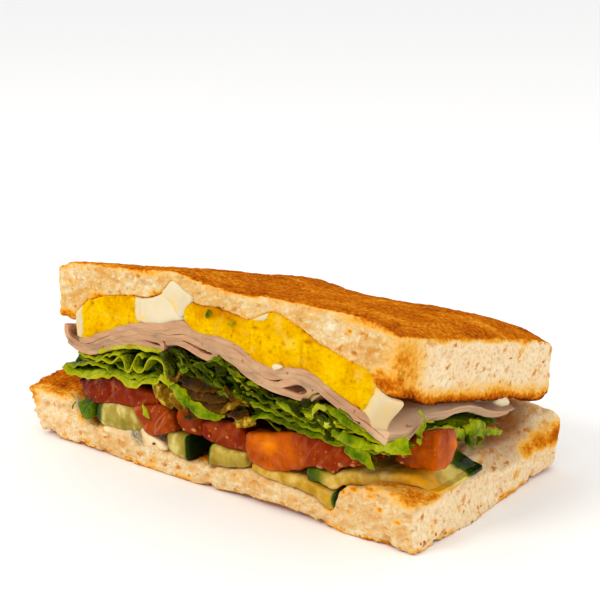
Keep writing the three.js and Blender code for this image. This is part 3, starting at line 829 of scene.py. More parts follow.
def make_base():
    points, faces = cad_copy("bread_base", BREAD_QUAD, rounds=2)
    points = squared(points, 3.2)
    x, y, z = points.T
    # The right back corner bulges, and low on the right edge is a lump. The top is higher at the left
    # and at the right back, and the foot of the right edge is squarer.
    bulge = blob(points, (57.5, 27, 7), (7, 6, 3.2))
    lump = blob(points, (58, -9, -1), (3, 3.4, 1.4))
    left_top = 1.4 * smooth(x, -37, -44) * smooth(y, -27.5, -20) * smooth(z, 6, 11)
    back_top = 2.2 * smooth(x, 30, 48) * smooth(y, 13, 25) * smooth(z, 2.5, 7)
    foot = smooth(z, 3.5, 0) * smooth(x, 49, 55.5) * smooth(y, 24, 6)
    z = np.maximum(z + left_top + back_top - 1.2 * foot, FLOOR) - 0.6 * lump
    points = np.stack([x + 1.2 * bulge + 1.6 * lump + 0.7 * foot, y + 0.8 * bulge, z], 1)

    # The skin is torn at the left, and bites are missing along the foot.
    facing = normals(points, faces)
    x, y, z = points.T
    teeth = np.abs(noise(points * [1, 1, 1.6], 2.6, 31)) + 0.5 * np.abs(noise(points, 1.3, 33))
    ragged = smooth(x, -50, -56) * (1.5 * teeth - 0.5) * smooth(z, -0.6, 1)
    ragged = ragged * lerp(1, 0.7 + 0.7 * noise(points, 7, 36), smooth(y, -24, -14))
    bites = smooth(noise(points, 2.6, 35, 2), 0.05, 0.6) * smooth(z, 1, -0.9)
    ragged = ragged - 0.9 * bites * np.maximum(smooth(y, CUT + 2, CUT), smooth(x, 55, 57))

    top = smooth(facing[:, 2], 0.3, 0.8) * (z > 3)
    under = smooth(facing[:, 2], -0.45, -0.85)
    broken = smooth(noise(points, 6, 34, 2), -0.35, 0.3)
    rim = broken * smooth(z, 0.7 + 1.2 * noise(points, 2.4, 32, 2), -1.1)
    outer = np.maximum(under * 0.6, 0.4 * rim)
    outer = np.maximum(outer, top * lerp(0.67, 0, smooth(x, 6, 36)) * smooth(y, -27.9, -25))
    # Painted shade: the top at the right back, under the lid, is darkened.
    stain = 0.9 * top * smooth(x, 26, 34) * smooth(x, 60, 51) * smooth(y, -12, 12) * smooth(y, 28, 18)
    # Painted light: faces that face the right are lighter, and the top towards the right half as much; the
    # left end and the whole slice are paler too.
    pale = 0.75 * np.maximum(smooth(facing[:, 0], 0.3, 0.8), 0.5 * top * smooth(x, 40, 50))
    pale = np.minimum(pale + 0.4 * smooth(x, -36, -50) + 0.2, 1)
    bake("toast_base", "bread_base", points, faces, ragged, outer, BASE_PATCHES, pale, stain)


def lid_drop(x, y):
    """How much lower the lid's right edge hangs than in the CAD, which thins it by rounding."""
    return (lerp(0.5, 2.7, smooth(y, CUT, -17)) + 1.4 * smooth(y, 13, 24)) * smooth(x, 44, 52)


def make_lid():
    points, faces = cad_copy("bread_lid", BREAD_QUAD, rounds=2)
    points = squared(points, 1.8)
    x, y, z = points.T
    top_z = lid_outer(x, y)
    low_z = lerp(lid_inner(x, y), fine_lid_under(x), smooth(y, -12, -25))
    share = np.clip((top_z - z) / (top_z - low_z), 0, 1)
    lip = 0.8 * smooth(x, -37.5, -40) * smooth(z, 36, 32)
    points = np.stack([x, y, z - lid_drop(x, y) * share - lip], 1)

    # The right face ends, below, where the mesh itself does.
    facing = normals(points, faces)
    z = points[:, 2]
    stations = np.arange(CUT, OUTER, 2)
    right_face = (facing[:, 0] > 0.6) & (x > 50)
    feet = [z[right_face & (abs(y - at) < 1.5)].min() for at in stations]
    at_right = smooth(x, 51, 55) * smooth(y, CUT, -25)
    low_z = lerp(low_z - lid_drop(x, y), np.interp(y, stations, feet), at_right)
    wander = noise(points, 5, 41, 4)
    right = smooth(x, 46, 53)
    upper = smooth(facing[:, 2], 0.35, 0.8)
    lower = smooth(facing[:, 2], -0.3, -0.8)
    top_rim = smooth(top_z - z, 2.6 + 1.5 * wander, 0.5)
    low_rim = smooth(z - low_z, 3.4 + 1.9 * wander, 0.5)
    outer = np.max([
        upper * (0.62 + 0.1 * noise(points, 9, 43)), lower * 0.55,
        top_rim * lerp(0.14, 0.6, right), low_rim * lerp(0.1, 0.72, right),
        0.3 * smooth(z - low_z, 6.5 + 2 * wander, 1) * right,
        0.95 * smooth(z - low_z, 1.7 + 0.9 * wander, 0.2) * right], axis=0)
    ragged = smooth(x, -41, -44) * (0.9 * np.abs(noise(points, 1.8, 42)) - 0.2)
    # Painted light: faces that face the right are lighter.
    pale = smooth(facing[:, 0], 0.3, 0.8)
    # Painted shade: the underside just behind the cut is darkened.
    stain = 0.5 * lower * smooth(y, CUT + 0.5, CUT + 4)
    bake("toast_lid", "bread_lid", points, faces, ragged, outer, LID_PATCHES, pale, stain)


make_base()
make_lid()


# ---------- Egg ----------

yolk, egg_white = make_yolk(), make_egg_white()
# Of each slice at the cut: the middle of its yolk, and the yolk's reach along the cut.
YOLKS = {1: (-27, 10.1), 2: (31, 14.6), 3: (6.3, 9.9)}
# How much wider than the CAD's each yolk is, to its left and to its right.
YOLK_WIDTHS = {1: (0.97, 1.02), 2: (1.05, 1), 3: (1.02, 1.06)}
# Where the yolks of slices 3 and 2 meet, and where slice 2's yolk has a crease.
YOLKS_MEET, CREASE = 16.4, 29.8
# Brown specks on the yolk: where on the cut, and how wide.
YOLK_SPECKS = [
    (17.5, 39, 0.9), (21.3, 37.6, 0.4), (25.3, 37, 0.6), (21.5, 34.5, 0.5), (24.6, 32.5, 0.6),
    (27, 32.3, 0.8), (31.4, 38.4, 1.3), (33.8, 38.5, 0.5), (7.4, 35, 0.5), (19, 36, 0.3),
    (-24.5, 38.6, 0.5), (-32, 36, 0.6), (-20, 33.6, 0.4), (11, 36, 0.3), (40, 32, 0.3),
]


def yolk_lean(i, x, z):
    """How far slice 2's yolk leans to the right at its upper end."""
    return 2.8 * smooth(z, 25, 31.5) * smooth(x, 36, 44) * (i == 2)


def make_white(i, quad, white, core, middle, reach):
    """The white, whole and with a hollow for the yolk at the cut."""
    points, faces = merged([(swollen(*form, 0.3), form[1]) for form in (white, core)], quad)
    points = relaxed(points, faces, 1)
    x, y, z = points.T
    from_middle = abs(x - yolk_lean(i, x, z) - middle)
    sunk = np.maximum(smooth(from_middle, reach - 0.9, reach - 2.2), smooth(abs(x - YOLKS_MEET), 3, 2))
    forward = smooth(-normals(points, faces)[:, 1], 0.3, 0.8)
    sunk = sunk * np.maximum(forward, smooth(y, CUT + 1.6, CUT + 0.6)) * (i in YOLKS)
    points = swollen(points, faces, 0.1 * noise(points, 3, 50 + i, 2) - 0.7 * sunk)
    if i == 1:
        points[:, 0] -= 1.1 * smooth(x, -35, -37.5) * smooth(z, 34, 32)
    if i == 2:
        slant = 4 * smooth(z, 31, 24) * smooth(x, 45, 52)
        points[:, 0] -= smooth(x, 43, 50) * np.clip(y - CUT - 0.3, 0, 9) + slant
    edge = smooth(abs(from_middle - reach), 1.3, 0.1)
    smear = 0.7 * smooth(noise(points, 2.2, 60 + i), 0.6, 0.85)
    smear = np.maximum(smear, 0.7 * edge * (0.4 + noise(points, 2, 61)))
    # Painted shade: the white of slice 2 darkens towards its lower right.
    dull = 0.6 * smooth(x - 0.6 * z, 29, 36) * (i == 2)
    piece(f"white_{i}", points, faces, egg_white, "egg_white", [f"egg_{i}_white"],
          pale=np.clip(smear, 0, 1), dull=dull)


def make_crumbly_yolk(i, core, middle, reach):
    points, faces = core
    facing = normals(points, faces)
    x, y, z = points.T
    front = i in YOLKS
    wide = np.where(x < middle, *YOLK_WIDTHS.get(i, (1, 1)))
    wander = 0.7 * noise(points * [0.3, 1, 1], 2.6, 65 + i, 2) * front
    wander = wander * smooth(abs(x - middle), reach - 3, reach)
    points = np.stack([middle + (x - middle) * wide + wander + yolk_lean(i, x, z), y, z], 1)
    points = relaxed(points, faces, 3)
    away, number = cells(points, 1.7, 70 + i)
    pit = 0.4 * smooth(away, 0.4, 0.1) * smooth(number, 0.5, 1)
    rim = smooth(abs(x - middle), reach - 1.4, reach + 0.2) * (abs(x - YOLKS_MEET) > 4) * front
    rough = 0.46 + 0.2 * noise(points, 2.4, 80 + i, 2) - pit * (1 - rim) - 0.7 * rim
    # Painted shade just under the lid near x = 8.5, with the yolk's brown specks and its crease.
    stain = 0.62 * blob(points, (8.5, CUT, 40.4), (7, 2, 1.5))
    for speck_x, speck_z, reach_x in YOLK_SPECKS:
        stain = np.maximum(stain, 0.9 * blob(points, (speck_x, CUT - 0.3, speck_z), (reach_x, 1.4, 0.42)))
    line = smooth(abs(x - CREASE), 0.5, 0.1) * (x > 25)
    stain = stain + 0.4 * line * smooth(noise(points, 1.5, 71), -0.4, 0.4)
    pale = np.maximum(0.3 * smooth(noise(points, 3.4, 90 + i, 3), 0.3, 0.9),
                      rim * (0.55 + 0.3 * noise(points, 2, 95 + i)))
    crease = 0.25 * smooth(abs(x - CREASE - 0.1), 0.6, 0) * (i == 2)
    points = points + facing * (rough - crease)[:, None]
    piece(f"yolk_{i}", points, faces, yolk, "yolk", [f"egg_{i}_yolk"],
          stain=np.clip(stain, 0, 0.85), pale=np.clip(pale, 0, 1))


def make_slice(i):
    """A slice of egg: the white is whole, and the crumbly yolk lies in it and shows on each side."""
    quad = FINE_QUAD if i in YOLKS else COARSE_QUAD
    white, core = (cad_copy(f"egg_{i}_{kind}", quad) for kind in ("white", "yolk"))
    middle, reach = YOLKS.get(i, (core[0][:, 0].mean(), 0.5 * np.ptp(core[0][:, 0])))
    make_white(i, quad, white, core, middle, reach)
    make_crumbly_yolk(i, core, middle, reach)


def make_loose_whites():
    """The white that stands up against the top slice, two scraps, and one under the lid at the right."""
    # Of the first three: the outline, how far it stands out from the cut, and how deep it goes behind it.
    outlines = [
        ([(-9.7, 41.8), (-8.6, 43.3), (-6.8, 45.1), (-5.4, 44.9), (-3, 43.5), (-0.5, 42.3), (-1.2, 41),
          (-2.6, 39.4), (-3.2, 38), (-4.4, 37.3), (-5.8, 38.2), (-7, 40)], 0.6, 7),
        ([(16, 40.2), (18, 41.2), (20.6, 42.5), (21, 41.2), (18.4, 40.4)], 0.5, 3),
        ([(21.3, 31.3), (22.4, 32), (24.3, 31.8), (23, 30.8), (22, 30.5)], 1, 2),
    ]
    parts = []
    for outline, proud, depth in outlines:
        shifted = [(x + 0.8 * proud, z + 0.35 * proud) for x, z in outline]
        parts.append(prism(shifted, CUT - proud, CUT + depth, 0.32))
    scrap = [(54.6, 5, 21.6), (55, 7.6, 20.6), (54.6, 10.4, 19.2)]
    parts.append(blade(scrap, (1.8, 3, 1.4), 0.3, thickness=1.6)[:2])
    points, faces = joined(parts)
    points = relaxed(points, faces, 2)
    smear = blob(points, (-6, CUT, 39.3), (1.2, 3, 1.8))
    # Painted shade: these whites are darkened a little.
    piece("white_loose", points, faces, egg_white, "egg_white", pale=smear, dull=0.06)


for i in range(1, 7):
    make_slice(i)
make_loose_whites()


# ---------- Ham ----------

ham = make_ham()
HAM_THICK = 1.62
# The folds of each sheet as they show on the cut.
HAM_SHEETS = [
    [(-37.6, 26), (-35.5, 26.4), (-30, 28.6), (-25, 30.9), (-20, 32.6), (-15, 33.6), (-10, 34.2),
     (-5, 35.6), (-3, 35.9), (0, 34.7), (7, 34.4), (13, 33.2), (17, 31.2), (21, 30.4), (24, 30.8),
     (28, 31.6), (31.5, 31.4), (34, 30.4), (37, 28.9), (40, 27.5), (46, 25.1), (51, 22.7)],
    [(-42, 29.2), (-42.1, 27.5), (-41.2, 26), (-38.5, 25.1), (-35, 25), (-30, 27), (-25, 29.4),
     (-20, 31.2), (-15, 32.2), (-10, 32.9), (-5, 34.2), (-3, 34.5), (0, 33.5), (3, 33.2), (7, 33),
     (10, 32.5), (13, 31.8), (17, 29.9), (21, 29.1), (25, 29.8), (28, 30.3), (31.5, 30.1), (34, 29),
     (37, 27.5), (40, 26), (46, 23.3), (50.6, 21.2)],
    [(-24, 28.9), (-19, 30), (-14.5, 30.9), (-11.6, 30.9), (-10.2, 30.1), (-10.4, 29.1), (-12.2, 28.9),
     (-15, 29.3), (-20, 28.6), (-25, 27.3), (-30, 25.2), (-34, 23.9), (-38, 24), (-41.4, 25.4)],
    [(-13, 32), (-9, 31.8), (-5, 32.6), (-3, 33), (1, 32.3), (4, 31.9), (5.7, 31), (5.2, 29.9),
     (3.6, 29.7), (1, 30.2), (-2, 31), (-5, 31.6), (-8.8, 31)],
    [(16, 28.6), (20, 27.7), (23, 27.5), (25.4, 28.4), (28, 29.4), (30.4, 29.1), (31.5, 27.9), (31, 26.7),
     (29, 26), (25, 26.3), (20, 26.8), (15, 28.2), (11, 30.1), (7.6, 31.4)],
    [(29.4, 29.5), (32, 29.2), (33.7, 28.4), (32.6, 27.3), (31.6, 26.4)],
    [(3.5, 31.9), (8, 31.5), (11, 30.9), (13.5, 30), (16, 28.9), (18.5, 28.2)],
    [(-36, 24.9), (-32, 25.4), (-28, 27.2), (-24, 28.9)],
]
# The openings between the sheets: the middle of each on the cut, half its length and half its height.
HAM_HOLLOWS = [
    (27.8, 27.7, 3, 1), (2.3, 30.9, 1.7, 0.6), (-11.9, 30, 1.4, 0.5), (10, 33.1, 0.8, 0.4),
    (33.4, 27.4, 1.2, 0.7),
]


def places_along(count, step, apart):
    """Places for noise along a line, far enough from those of other lines."""
    return np.stack([np.arange(count) * step, np.full(count, apart), np.zeros(count)], 1)


def make_ham_sheets():
    """Thin folded sheets at the cut, which run back over the CAD's two layers."""
    parts = []
    for i, corners in enumerate(HAM_SHEETS):
        line = curve(corners, 0.55)
        steps = places_along(len(line), 0.55, 9.0 * i)
        thick = HAM_THICK * (1 + 0.12 * noise(steps, 5, 100))
        front = CUT - 0.2 + 0.18 * noise(steps, 4, 101)
        points, faces, inside = ribbon(line, thick, front, 17.4 - 2 * (i % 3), 36, rounding=0.16)
        parts.append((points, faces, np.exp(-inside / 0.6)))
    for node in ("ham_upper", "ham_lower"):
        points, faces = cad_copy(node, COARSE_QUAD, grow=-0.25)
        flat = points * [1, 0, 1]
        hollow = sum(blob(flat, (x, 0, z), (wide, 1, high)) for x, z, wide, high in HAM_HOLLOWS)
        points[:, 1] = np.maximum(points[:, 1], CUT - 0.15 + 5 * smooth(hollow, 0.3, 0.6))
        parts.append((points, faces, np.full(len(points), 0.6)))
    points, faces, rim = joined(parts)
    x, y, z = points.T
    # Painted light: the right end of the ham is lightened, where it lies in shade.
    rim = np.maximum(rim, 2.7 * smooth(x, 45, 49))

    # The right edge is pushed out and curls up under the lid.
    push = smooth(x, 43, 50) * smooth(y, CUT, -24) * lerp(1, 0.75, smooth(y, -6, 6))
    curl = smooth(x, 41, 50) * smooth(y, -27, -16.5) * smooth(y, 14, -4)
    roof = lid_inner(np.minimum(x, 54), y) - lid_drop(x, y) - 0.5
    depth = np.maximum(settle(x, ham_top(x), y) - z, 0)
    z = lerp(z, roof - 0.9 * depth, 0.92 * curl)
    points = np.stack([x + 2.4 * push, y, z + curl * 0.6 * noise(points, 6, 108)], 1)
    points = jittered(points, 0.1, 2.2, 102, 2)
    piece("ham_slices", points, faces, ham, "ham", ["ham_upper", "ham_lower"], sharp=55, rim=rim)


make_ham_sheets()


# ---------- Lettuce ----------

leaf = make_leaf()
lettuce_top = profile(
    (-43, 23.4), (-37, 22.9), (-33, 22.9), (-28, 25.4), (-20, 27.6), (-11, 28), (-6, 30), (2.5, 28.6),
    (7, 30.6), (13, 28), (20, 25.6), (29, 25.3), (34, 26.6), (38, 26), (42, 24.2), (51, 20.4))
lettuce_low = profile(
    (-44, 18.6), (-40, 17.4), (-33, 18.8), (-26, 19.8), (-19, 19), (-12, 20.4), (-6, 20), (-1, 22),
    (8, 21.4), (16, 19), (24, 19), (30, 18.8), (40, 18.4), (45, 17.4), (51, 19))


def leaves(name, rows):
    """Leaves as one piece. A row says: the edge as it shows on the cut, thickness, how far behind the
    cut its front and its back are, droop, ruffle, tone, and how far it falls behind its edge."""
    parts = []
    for i, (corners, thick, front, back, droop, ruffle, tone, fall) in enumerate(rows):
        line = curve(corners, 0.5) - front * np.array([SIGHT_X, SIGHT_Z])
        count = len(line)
        reach = front + 0.5 * noise(places_along(count, 0.5, 7.0 * i), 2.5, 200)
        fall = fall * smooth(line[:, 0], -45, -37)

        def wave(along, back_share):
            phase = 2 * math.pi * along * count * 0.5 / 3.2 + i + 2.4 * back_share
            return ruffle * np.sin(phase) * (0.35 + 0.65 * np.exp(-4 * back_share))

        points, faces, inside = ribbon(
            line, thick, CUT + reach, CUT + back, max(12, int(12 + back)), 1.8, droop, wave, fall)
        x = points[:, 0]
        # Painted shade: each leaf darkens further behind its front edge, except at the right end; the
        # leaves are also lighter at the left and darker from x = 4 on.
        shade = tone + 0.18 * noise(points, 4, 201, 2) - 0.2 * smooth(inside, 0.8, 4) * smooth(x, 49, 46)
        shade = shade + 0.08 * smooth(x, 0, -10) - 0.1 * smooth(x, 4, 10)
        parts.append((points, faces, shade, np.exp(-inside / 0.35)))
    points, faces, tone, rim = joined(parts)
    points = jittered(points, 0.16, 1.6, 202, 2)
    side = smooth(points[:, 0], 47, 50) * smooth(points[:, 1], -26, -20)
    points[:, 0] += side * 1.6 * noise(points * [0, 1, 0], 4, 207, 2)
    points[:, 2] += side * 0.9 * noise(points * [0.3, 1, 0], 3, 208, 2)
    brown = smooth(noise(points, 5, 206), 0.55, 0.9) * rim * 0.6
    piece(name, points, faces, leaf, "lettuce", sharp=60, tone=tone, rim=rim, brown=brown)


def blades(name, material, rows):
    """Small leaves and shreds as one piece. A row says: corners (x, distance behind the cut, z), widths,
    lean, cup, ruffle, tone."""
    parts = []
    for corners, widths, lean, cup, ruffle, tone in rows:
        points, faces, inside = blade(sighted(corners), widths, lean, cup, ruffle)
        x, y, z = points.T
        points[:, 2] = np.where(y > CUT, settle(x, z, y), z)
        parts.append((points, faces, np.full(len(points), tone), np.exp(-inside / 0.3)))
    points, faces, tone, rim = joined(parts)
    points = jittered(points, 0.3, 1.4, 212, 3)
    tone = tone + 0.2 * noise(points, 2.5, 215, 2)
    brown = smooth(noise(points, 3, 216), 0.5, 0.9) * rim * 0.7
    piece(name, points, faces, material, "lettuce", sharp=60, tone=tone, rim=rim, brown=brown)


# The long leaves and folds that show on the cut.
BIG_LEAVES = [
    ([(-30.4, 24.7), (-27, 26), (-23, 27.2), (-19, 27.9), (-14, 28.1), (-10.6, 28.1)],
     1.1, -0.4, 20, 0.4, 0, 0.76, 0),
    ([(-38.6, 22.7), (-36, 22.4), (-33, 22.4), (-30.5, 23.2), (-27, 24.6), (-24, 25.6)],
     0.6, -0.6, 26, 0.5, 0.2, 0.5, 0.3),
    ([(-38.4, 22), (-34, 21.3), (-30, 22), (-26, 22.4), (-22, 20.9), (-17, 21.4), (-12, 22.3)],
     0.5, -0.1, 22, 0.5, 0.25, 0.24, 1.4),
    ([(-32, 22.3), (-30, 22.9), (-27.6, 22.5), (-25.4, 23.6), (-24.1, 24.7), (-23.1, 23.2),
      (-22.3, 21.6), (-21.1, 21.7), (-20, 23.6), (-18.8, 25.8), (-17.4, 26.5), (-16.6, 25.8)],
     0.55, -0.7, 14, 0.3, 0, 0.58, 0),
    ([(-19.4, 24.2), (-19.3, 23.1), (-18, 22.5), (-16.4, 23.1), (-15.3, 24.9), (-13.9, 26.4),
      (-11.6, 26.4), (-10.1, 25.7), (-9.6, 24), (-9.2, 22.2), (-8.2, 21.6), (-6.4, 22.4), (-4.6, 24)],
     0.55, -0.7, 14, 0.3, 0, 0.6, 0),
    ([(-44, 18.8), (-42, 17.6), (-38.5, 17.3), (-34, 18), (-31, 18.8), (-28, 19.1), (-26, 19.8),
      (-23, 19), (-20.4, 18.3), (-18.4, 19), (-16.4, 20.2), (-13, 20.6), (-11.6, 22), (-10, 21.7),
      (-8.4, 20.9)], 0.5, -1.3, 30, 0.4, 0.1, 0.62, 1.6),
    ([(-42.6, 19), (-40, 19.3), (-36, 20.7), (-32, 21.2), (-28, 20.8), (-24, 20.4), (-19, 20.6),
      (-14, 21.6)], 0.5, -0.6, 28, 0.5, 0.2, 0.4, 0.8),
    ([(8, 23), (12, 22.3), (16, 21.9), (20, 21.6), (25, 21.1), (30, 20.5), (34, 20), (40, 19.5),
      (47, 19.4)], 0.4, -0.8, 24, 0.5, 0.2, 0.42, 0.3),
    ([(15, 18.4), (18, 19.8), (21, 20.3), (25, 19.8), (30, 19.2), (34, 18.9), (39, 18.6), (45, 18.9),
      (51, 19.6)], 0.4, -1.1, 30, 0.5, 0.16, 0.36, 0.4),
    ([(12, 17.6), (16, 18.8), (20, 19.3), (26, 18.8), (31, 18.4)], 0.4, 0.2, 18, 0.3, 0.15, 0.14, 0.6),
    ([(14, 25.8), (18, 24.6), (22, 24.2), (27, 24.4), (31, 23.4)], 0.35, -0.6, 14, 0.3, 0.25, 0.2, 0.2),
    ([(16, 24), (20, 23.2), (25, 22.6), (29, 21.9), (33, 21.6)], 0.35, -0.7, 14, 0.3, 0.25, 0.28, 0.2),
    ([(31.2, 26.2), (32.6, 27.6), (34, 28.1), (35.6, 27.6), (38, 26.4), (41, 25.2), (44, 23.8)],
     0.4, -0.3, 14, 0.3, 0.15, 0.3, 0.2),
    ([(35, 24.6), (38, 23.4), (41, 22.4), (45, 21.9), (48, 21)], 0.35, -0.7, 14, 0.3, 0.25, 0.3, 0.2),
    ([(36, 22.4), (39, 22.9), (42, 22.8), (45, 22.4)], 0.35, -0.9, 12, 0.3, 0.2, 0.48, 0.2),
    ([(36, 21.8), (41, 22.4), (46, 21.8), (49, 20.6), (51.4, 19.9)],
     0.5, -0.6, 41, 0.3, 0.15, 0.6, 0.2),
]
# Single strips: the long green one in the middle, loops at the right, the tip that hangs over the
# tomato, greens along the right side, a sprig there, and scraps on the egg, the tomato and the bread.
STRIPS = [
    ([(-8.4, -0.5, 21), (-6.4, -1.1, 20.6), (-4.4, -1.4, 19.4), (-2.7, -1.3, 17.8)],
     (0.6, 1.9, 2.9, 2.1), 0.35, 0.12, 0, 0.52),
    ([(-2.5, -1.3, 18.2), (0.2, -1.5, 17.4), (3.6, -1.4, 16.8), (8.2, -0.5, 17.4)],
     (1.8, 2.8, 2.3, 0.8), 0.35, 0.12, 0, 0.44),
    ([(41, -1.1, 18.4), (44, -1.5, 17.6), (46.4, -1.7, 16.2), (47.4, -1.7, 15)],
     (2.8, 3.4, 2.2, 0.3), 0.3, 0.1, 0.1, 0.46),
    ([(45.5, -0.4, 19.2), (49.6, -0.4, 19.9), (53, 0.4, 21), (56.2, 1.6, 22.2)],
     (1, 1.6, 3, 4), 0.5, 0.1, 0.3, 0.66),
    ([(30.4, 0, 24.2), (31.4, -0.3, 23.2), (32.6, -0.2, 22.4)], (1.6, 2, 1.2), 0.4, 0.3, 0, 0.7),
    ([(32.4, 0, 22.4), (32.6, -0.4, 24.2), (34, -0.5, 25.4), (35.8, -0.2, 24.6)],
     (0.9, 1.3, 1.3, 0.9), 0.2, 0.3, 0, 0.86),
    ([(34, -0.3, 22.6), (36, -0.5, 21.9), (38.4, -0.2, 22.8)], (1, 1.6, 1), 0.4, 0.2, 0.1, 0.8),
    ([(36, 0, 25.4), (39, -0.4, 24.4), (42, -0.4, 23), (45, 0, 22.2)],
     (1, 2, 2, 1), 0.7, 0.2, 0.1, 0.5),
    ([(23, 0, 23.9), (26, -0.4, 23.5), (29, 0, 22.2)], (1, 2.4, 1.2), 0.7, 0.2, 0.1, 0.52),
    ([(37, -0.2, 20.6), (41, -0.8, 20), (45, -0.8, 19.6), (49, -0.2, 19.8)],
     (1.2, 2.4, 2.4, 1.2), 0.6, 0.12, 0.15, 0.56),
    ([(53, 8.1, 23.3), (53.2, 15.5, 22.4), (53.2, 21.5, 20.8), (53, 26.5, 19.4), (52.6, 31.5, 18.2)],
     (0.8, 1.8, 3, 2.8, 1.6), 0.5, 0.12, 0.25, 0.62),
    ([(53.4, 24.1, 21.4), (53.9, 26.7, 22.4), (53.7, 29.9, 22.2), (53, 32.5, 21)],
     (1.4, 3.4, 3.2, 1.4), 0.3, 0.2, 0.7, 0.64),
    ([(53.8, 24.7, 20.4), (54.3, 27.5, 20.8), (54.1, 30.5, 20.2)], (1.8, 3, 1.8), 0.3, 0.2, 0.6, 0.56),
    ([(53.8, 24.9, 19.8), (54.4, 24.9, 18.2), (54.4, 25.9, 16.8)],
     (1.6, 2.6, 1.1), 0.2, 0.2, 0.3, 0.36),
    ([(53.8, 29.7, 19.6), (54.4, 29.2, 18), (54.3, 28.3, 16.6)], (1.6, 2.8, 1.2), 0.2, 0.2, 0.3, 0.4),
    ([(53.6, 30.5, 19.8), (54, 34.5, 19.6), (53.8, 37.5, 18.4), (53.2, 40.1, 17.2)],
     (1.8, 2.6, 2.2, 1), 0.3, 0.15, 0.4, 0.62),
    ([(55, 6.6, 25.2), (55.2, 6.1, 26.8), (54.8, 4.7, 28.9)], (0.9, 0.7, 0.5), 0.2, 0.1, 0, 0.62),
    ([(55.2, 6.3, 26.6), (55.3, 7.9, 26), (55.2, 9.6, 25.9)], (0.5, 0.6, 0.3), 0.2, 0.1, 0, 0.62),
    ([(55, 6.5, 25.8), (55.3, 4.9, 24.5), (55.3, 4.1, 23), (55, 5.1, 21.8)],
     (0.8, 2.2, 2.6, 1), 0.2, 0.15, 0.1, 0.62),
    ([(-17.4, -1, 14.3), (-16.4, -1.1, 12.8), (-15, -1, 11.6)], (0.3, 1.6, 0.4), 0.2, 0.1, 0, 0.78),
    ([(3.2, -1, 39), (4, -1.1, 39.6), (4.8, -1, 40.2)], (1, 2.1, 1), 0.2, 0.1, 0, 0.42),
    ([(9.7, -1, 38.3), (10.5, -1.1, 38.7), (11.4, -1, 39.2)], (0.4, 0.9, 0.3), 0.2, 0.1, 0, 0.5),
    ([(-40.2, -0.5, 10), (-41.4, -0.5, 8.5)], (0.4, 0.3), 0.2, 0, 0, 0.3),
]
# Wilted, see-through brown bits below the middle of the ham.
WILTED = [
    ([(-13.4, 0, 20.2), (-11, -0.5, 18.8), (-9, -0.5, 17.2), (-7.6, 0, 16)],
     (1.6, 3.4, 3.2, 1.4), 0.4, 0.16, 0, 0.96),
    ([(-9.6, 0, 19.8), (-7, -0.5, 18.6), (-4.6, -0.5, 17), (-2.8, 0, 16.2)],
     (1.4, 3, 2.8, 1.2), 0.4, 0.16, 0, 0.8),
    ([(-6, 0, 23.8), (-2, -0.5, 23), (2, -0.5, 22.8), (6.4, 0, 23.4)],
     (1.6, 3, 3, 1.6), 0.5, 0.16, 0, 0.3),
    ([(-4, 0, 21.6), (0, -0.5, 21), (5, -0.5, 21), (9, 0, 21.8)],
     (1.8, 3.2, 3.2, 1.8), 0.5, 0.16, 0, 0.38),
    ([(-2, 0, 19.8), (3, -0.5, 19.2), (8, -0.5, 19.6), (11.4, 0, 20.6)],
     (1.4, 2.8, 2.8, 1.4), 0.5, 0.16, 0, 0.36),
    ([(6, -0.5, 17.6), (8.4, -0.9, 19.2), (11, -0.9, 20.8), (13.4, -0.5, 22.4)],
     (1, 1.6, 1.4, 0.8), 0.2, 0.2, 0, 0.7),
    ([(8, -0.5, 23.9), (9.6, -0.8, 22.4), (12, -0.8, 21.7), (15.4, -0.5, 21.4)],
     (0.9, 1.2, 1, 0.6), 0.3, 0.2, 0.2, 0.56),
    ([(11, -0.5, 16.4), (13, -0.9, 17), (15, -0.9, 17.6), (17, -0.5, 18.4)],
     (1.2, 2.4, 2.2, 0.8), 0.3, 0.2, 0.5, 0.82),
    ([(-4.6, -0.7, 14.2), (-2, -1, 15), (0.2, -0.7, 15.5)], (0.6, 1.8, 1), 0.3, 0.15, 0, 0.6),
    ([(-9, -0.5, 23), (-7.4, -0.8, 22.3), (-5.8, -0.8, 23), (-4.6, -0.5, 24.3)],
     (0.5, 1, 1, 0.6), 0.3, 0.1, 0, 0.72),
    ([(9.4, 0, 18.4), (12, -0.5, 18.6), (15, 0, 19.6)], (1.6, 2.2, 1.4), 0.5, 0.2, 0.1, 0.4),
]


def make_shreds(count):
    """Cut strips of leaf between the big leaves and the ham."""
    rows = []
    for _ in range(count):
        x = random.uniform(-10, 47)
        z = lerp(lettuce_low(x), lettuce_top(x), random.uniform(0.02, 0.97))
        half, tilt = random.uniform(0.9, 3.4), random.normal(-0.3, 0.4)
        depth = random.choice([-0.5, 0, 0.8, 2, 3.5, 5.5]) + random.uniform(-0.3, 0.3)
        corners = []
        for t in (-1, -0.33, 0.33, 1):
            spot = x + half * t
            high = min(z + half * tilt * t + random.uniform(-0.4, 0.4), float(lettuce_top(spot)) - 0.3)
            corners.append((spot, depth + random.uniform(-0.3, 0.3) + 0.5 * t * t, high))
        wide = random.uniform(0.5, 1.7)
        tone = random.choice([0.02, 0.08, 0.14, 0.2, 0.3, 0.46])
        rows.append((corners, (0.3, wide, wide * random.uniform(0.6, 1), 0.3), random.uniform(0.1, 1.3),
                     random.uniform(-0.3, 0.4), random.uniform(0.1, 0.4), tone))
    return rows


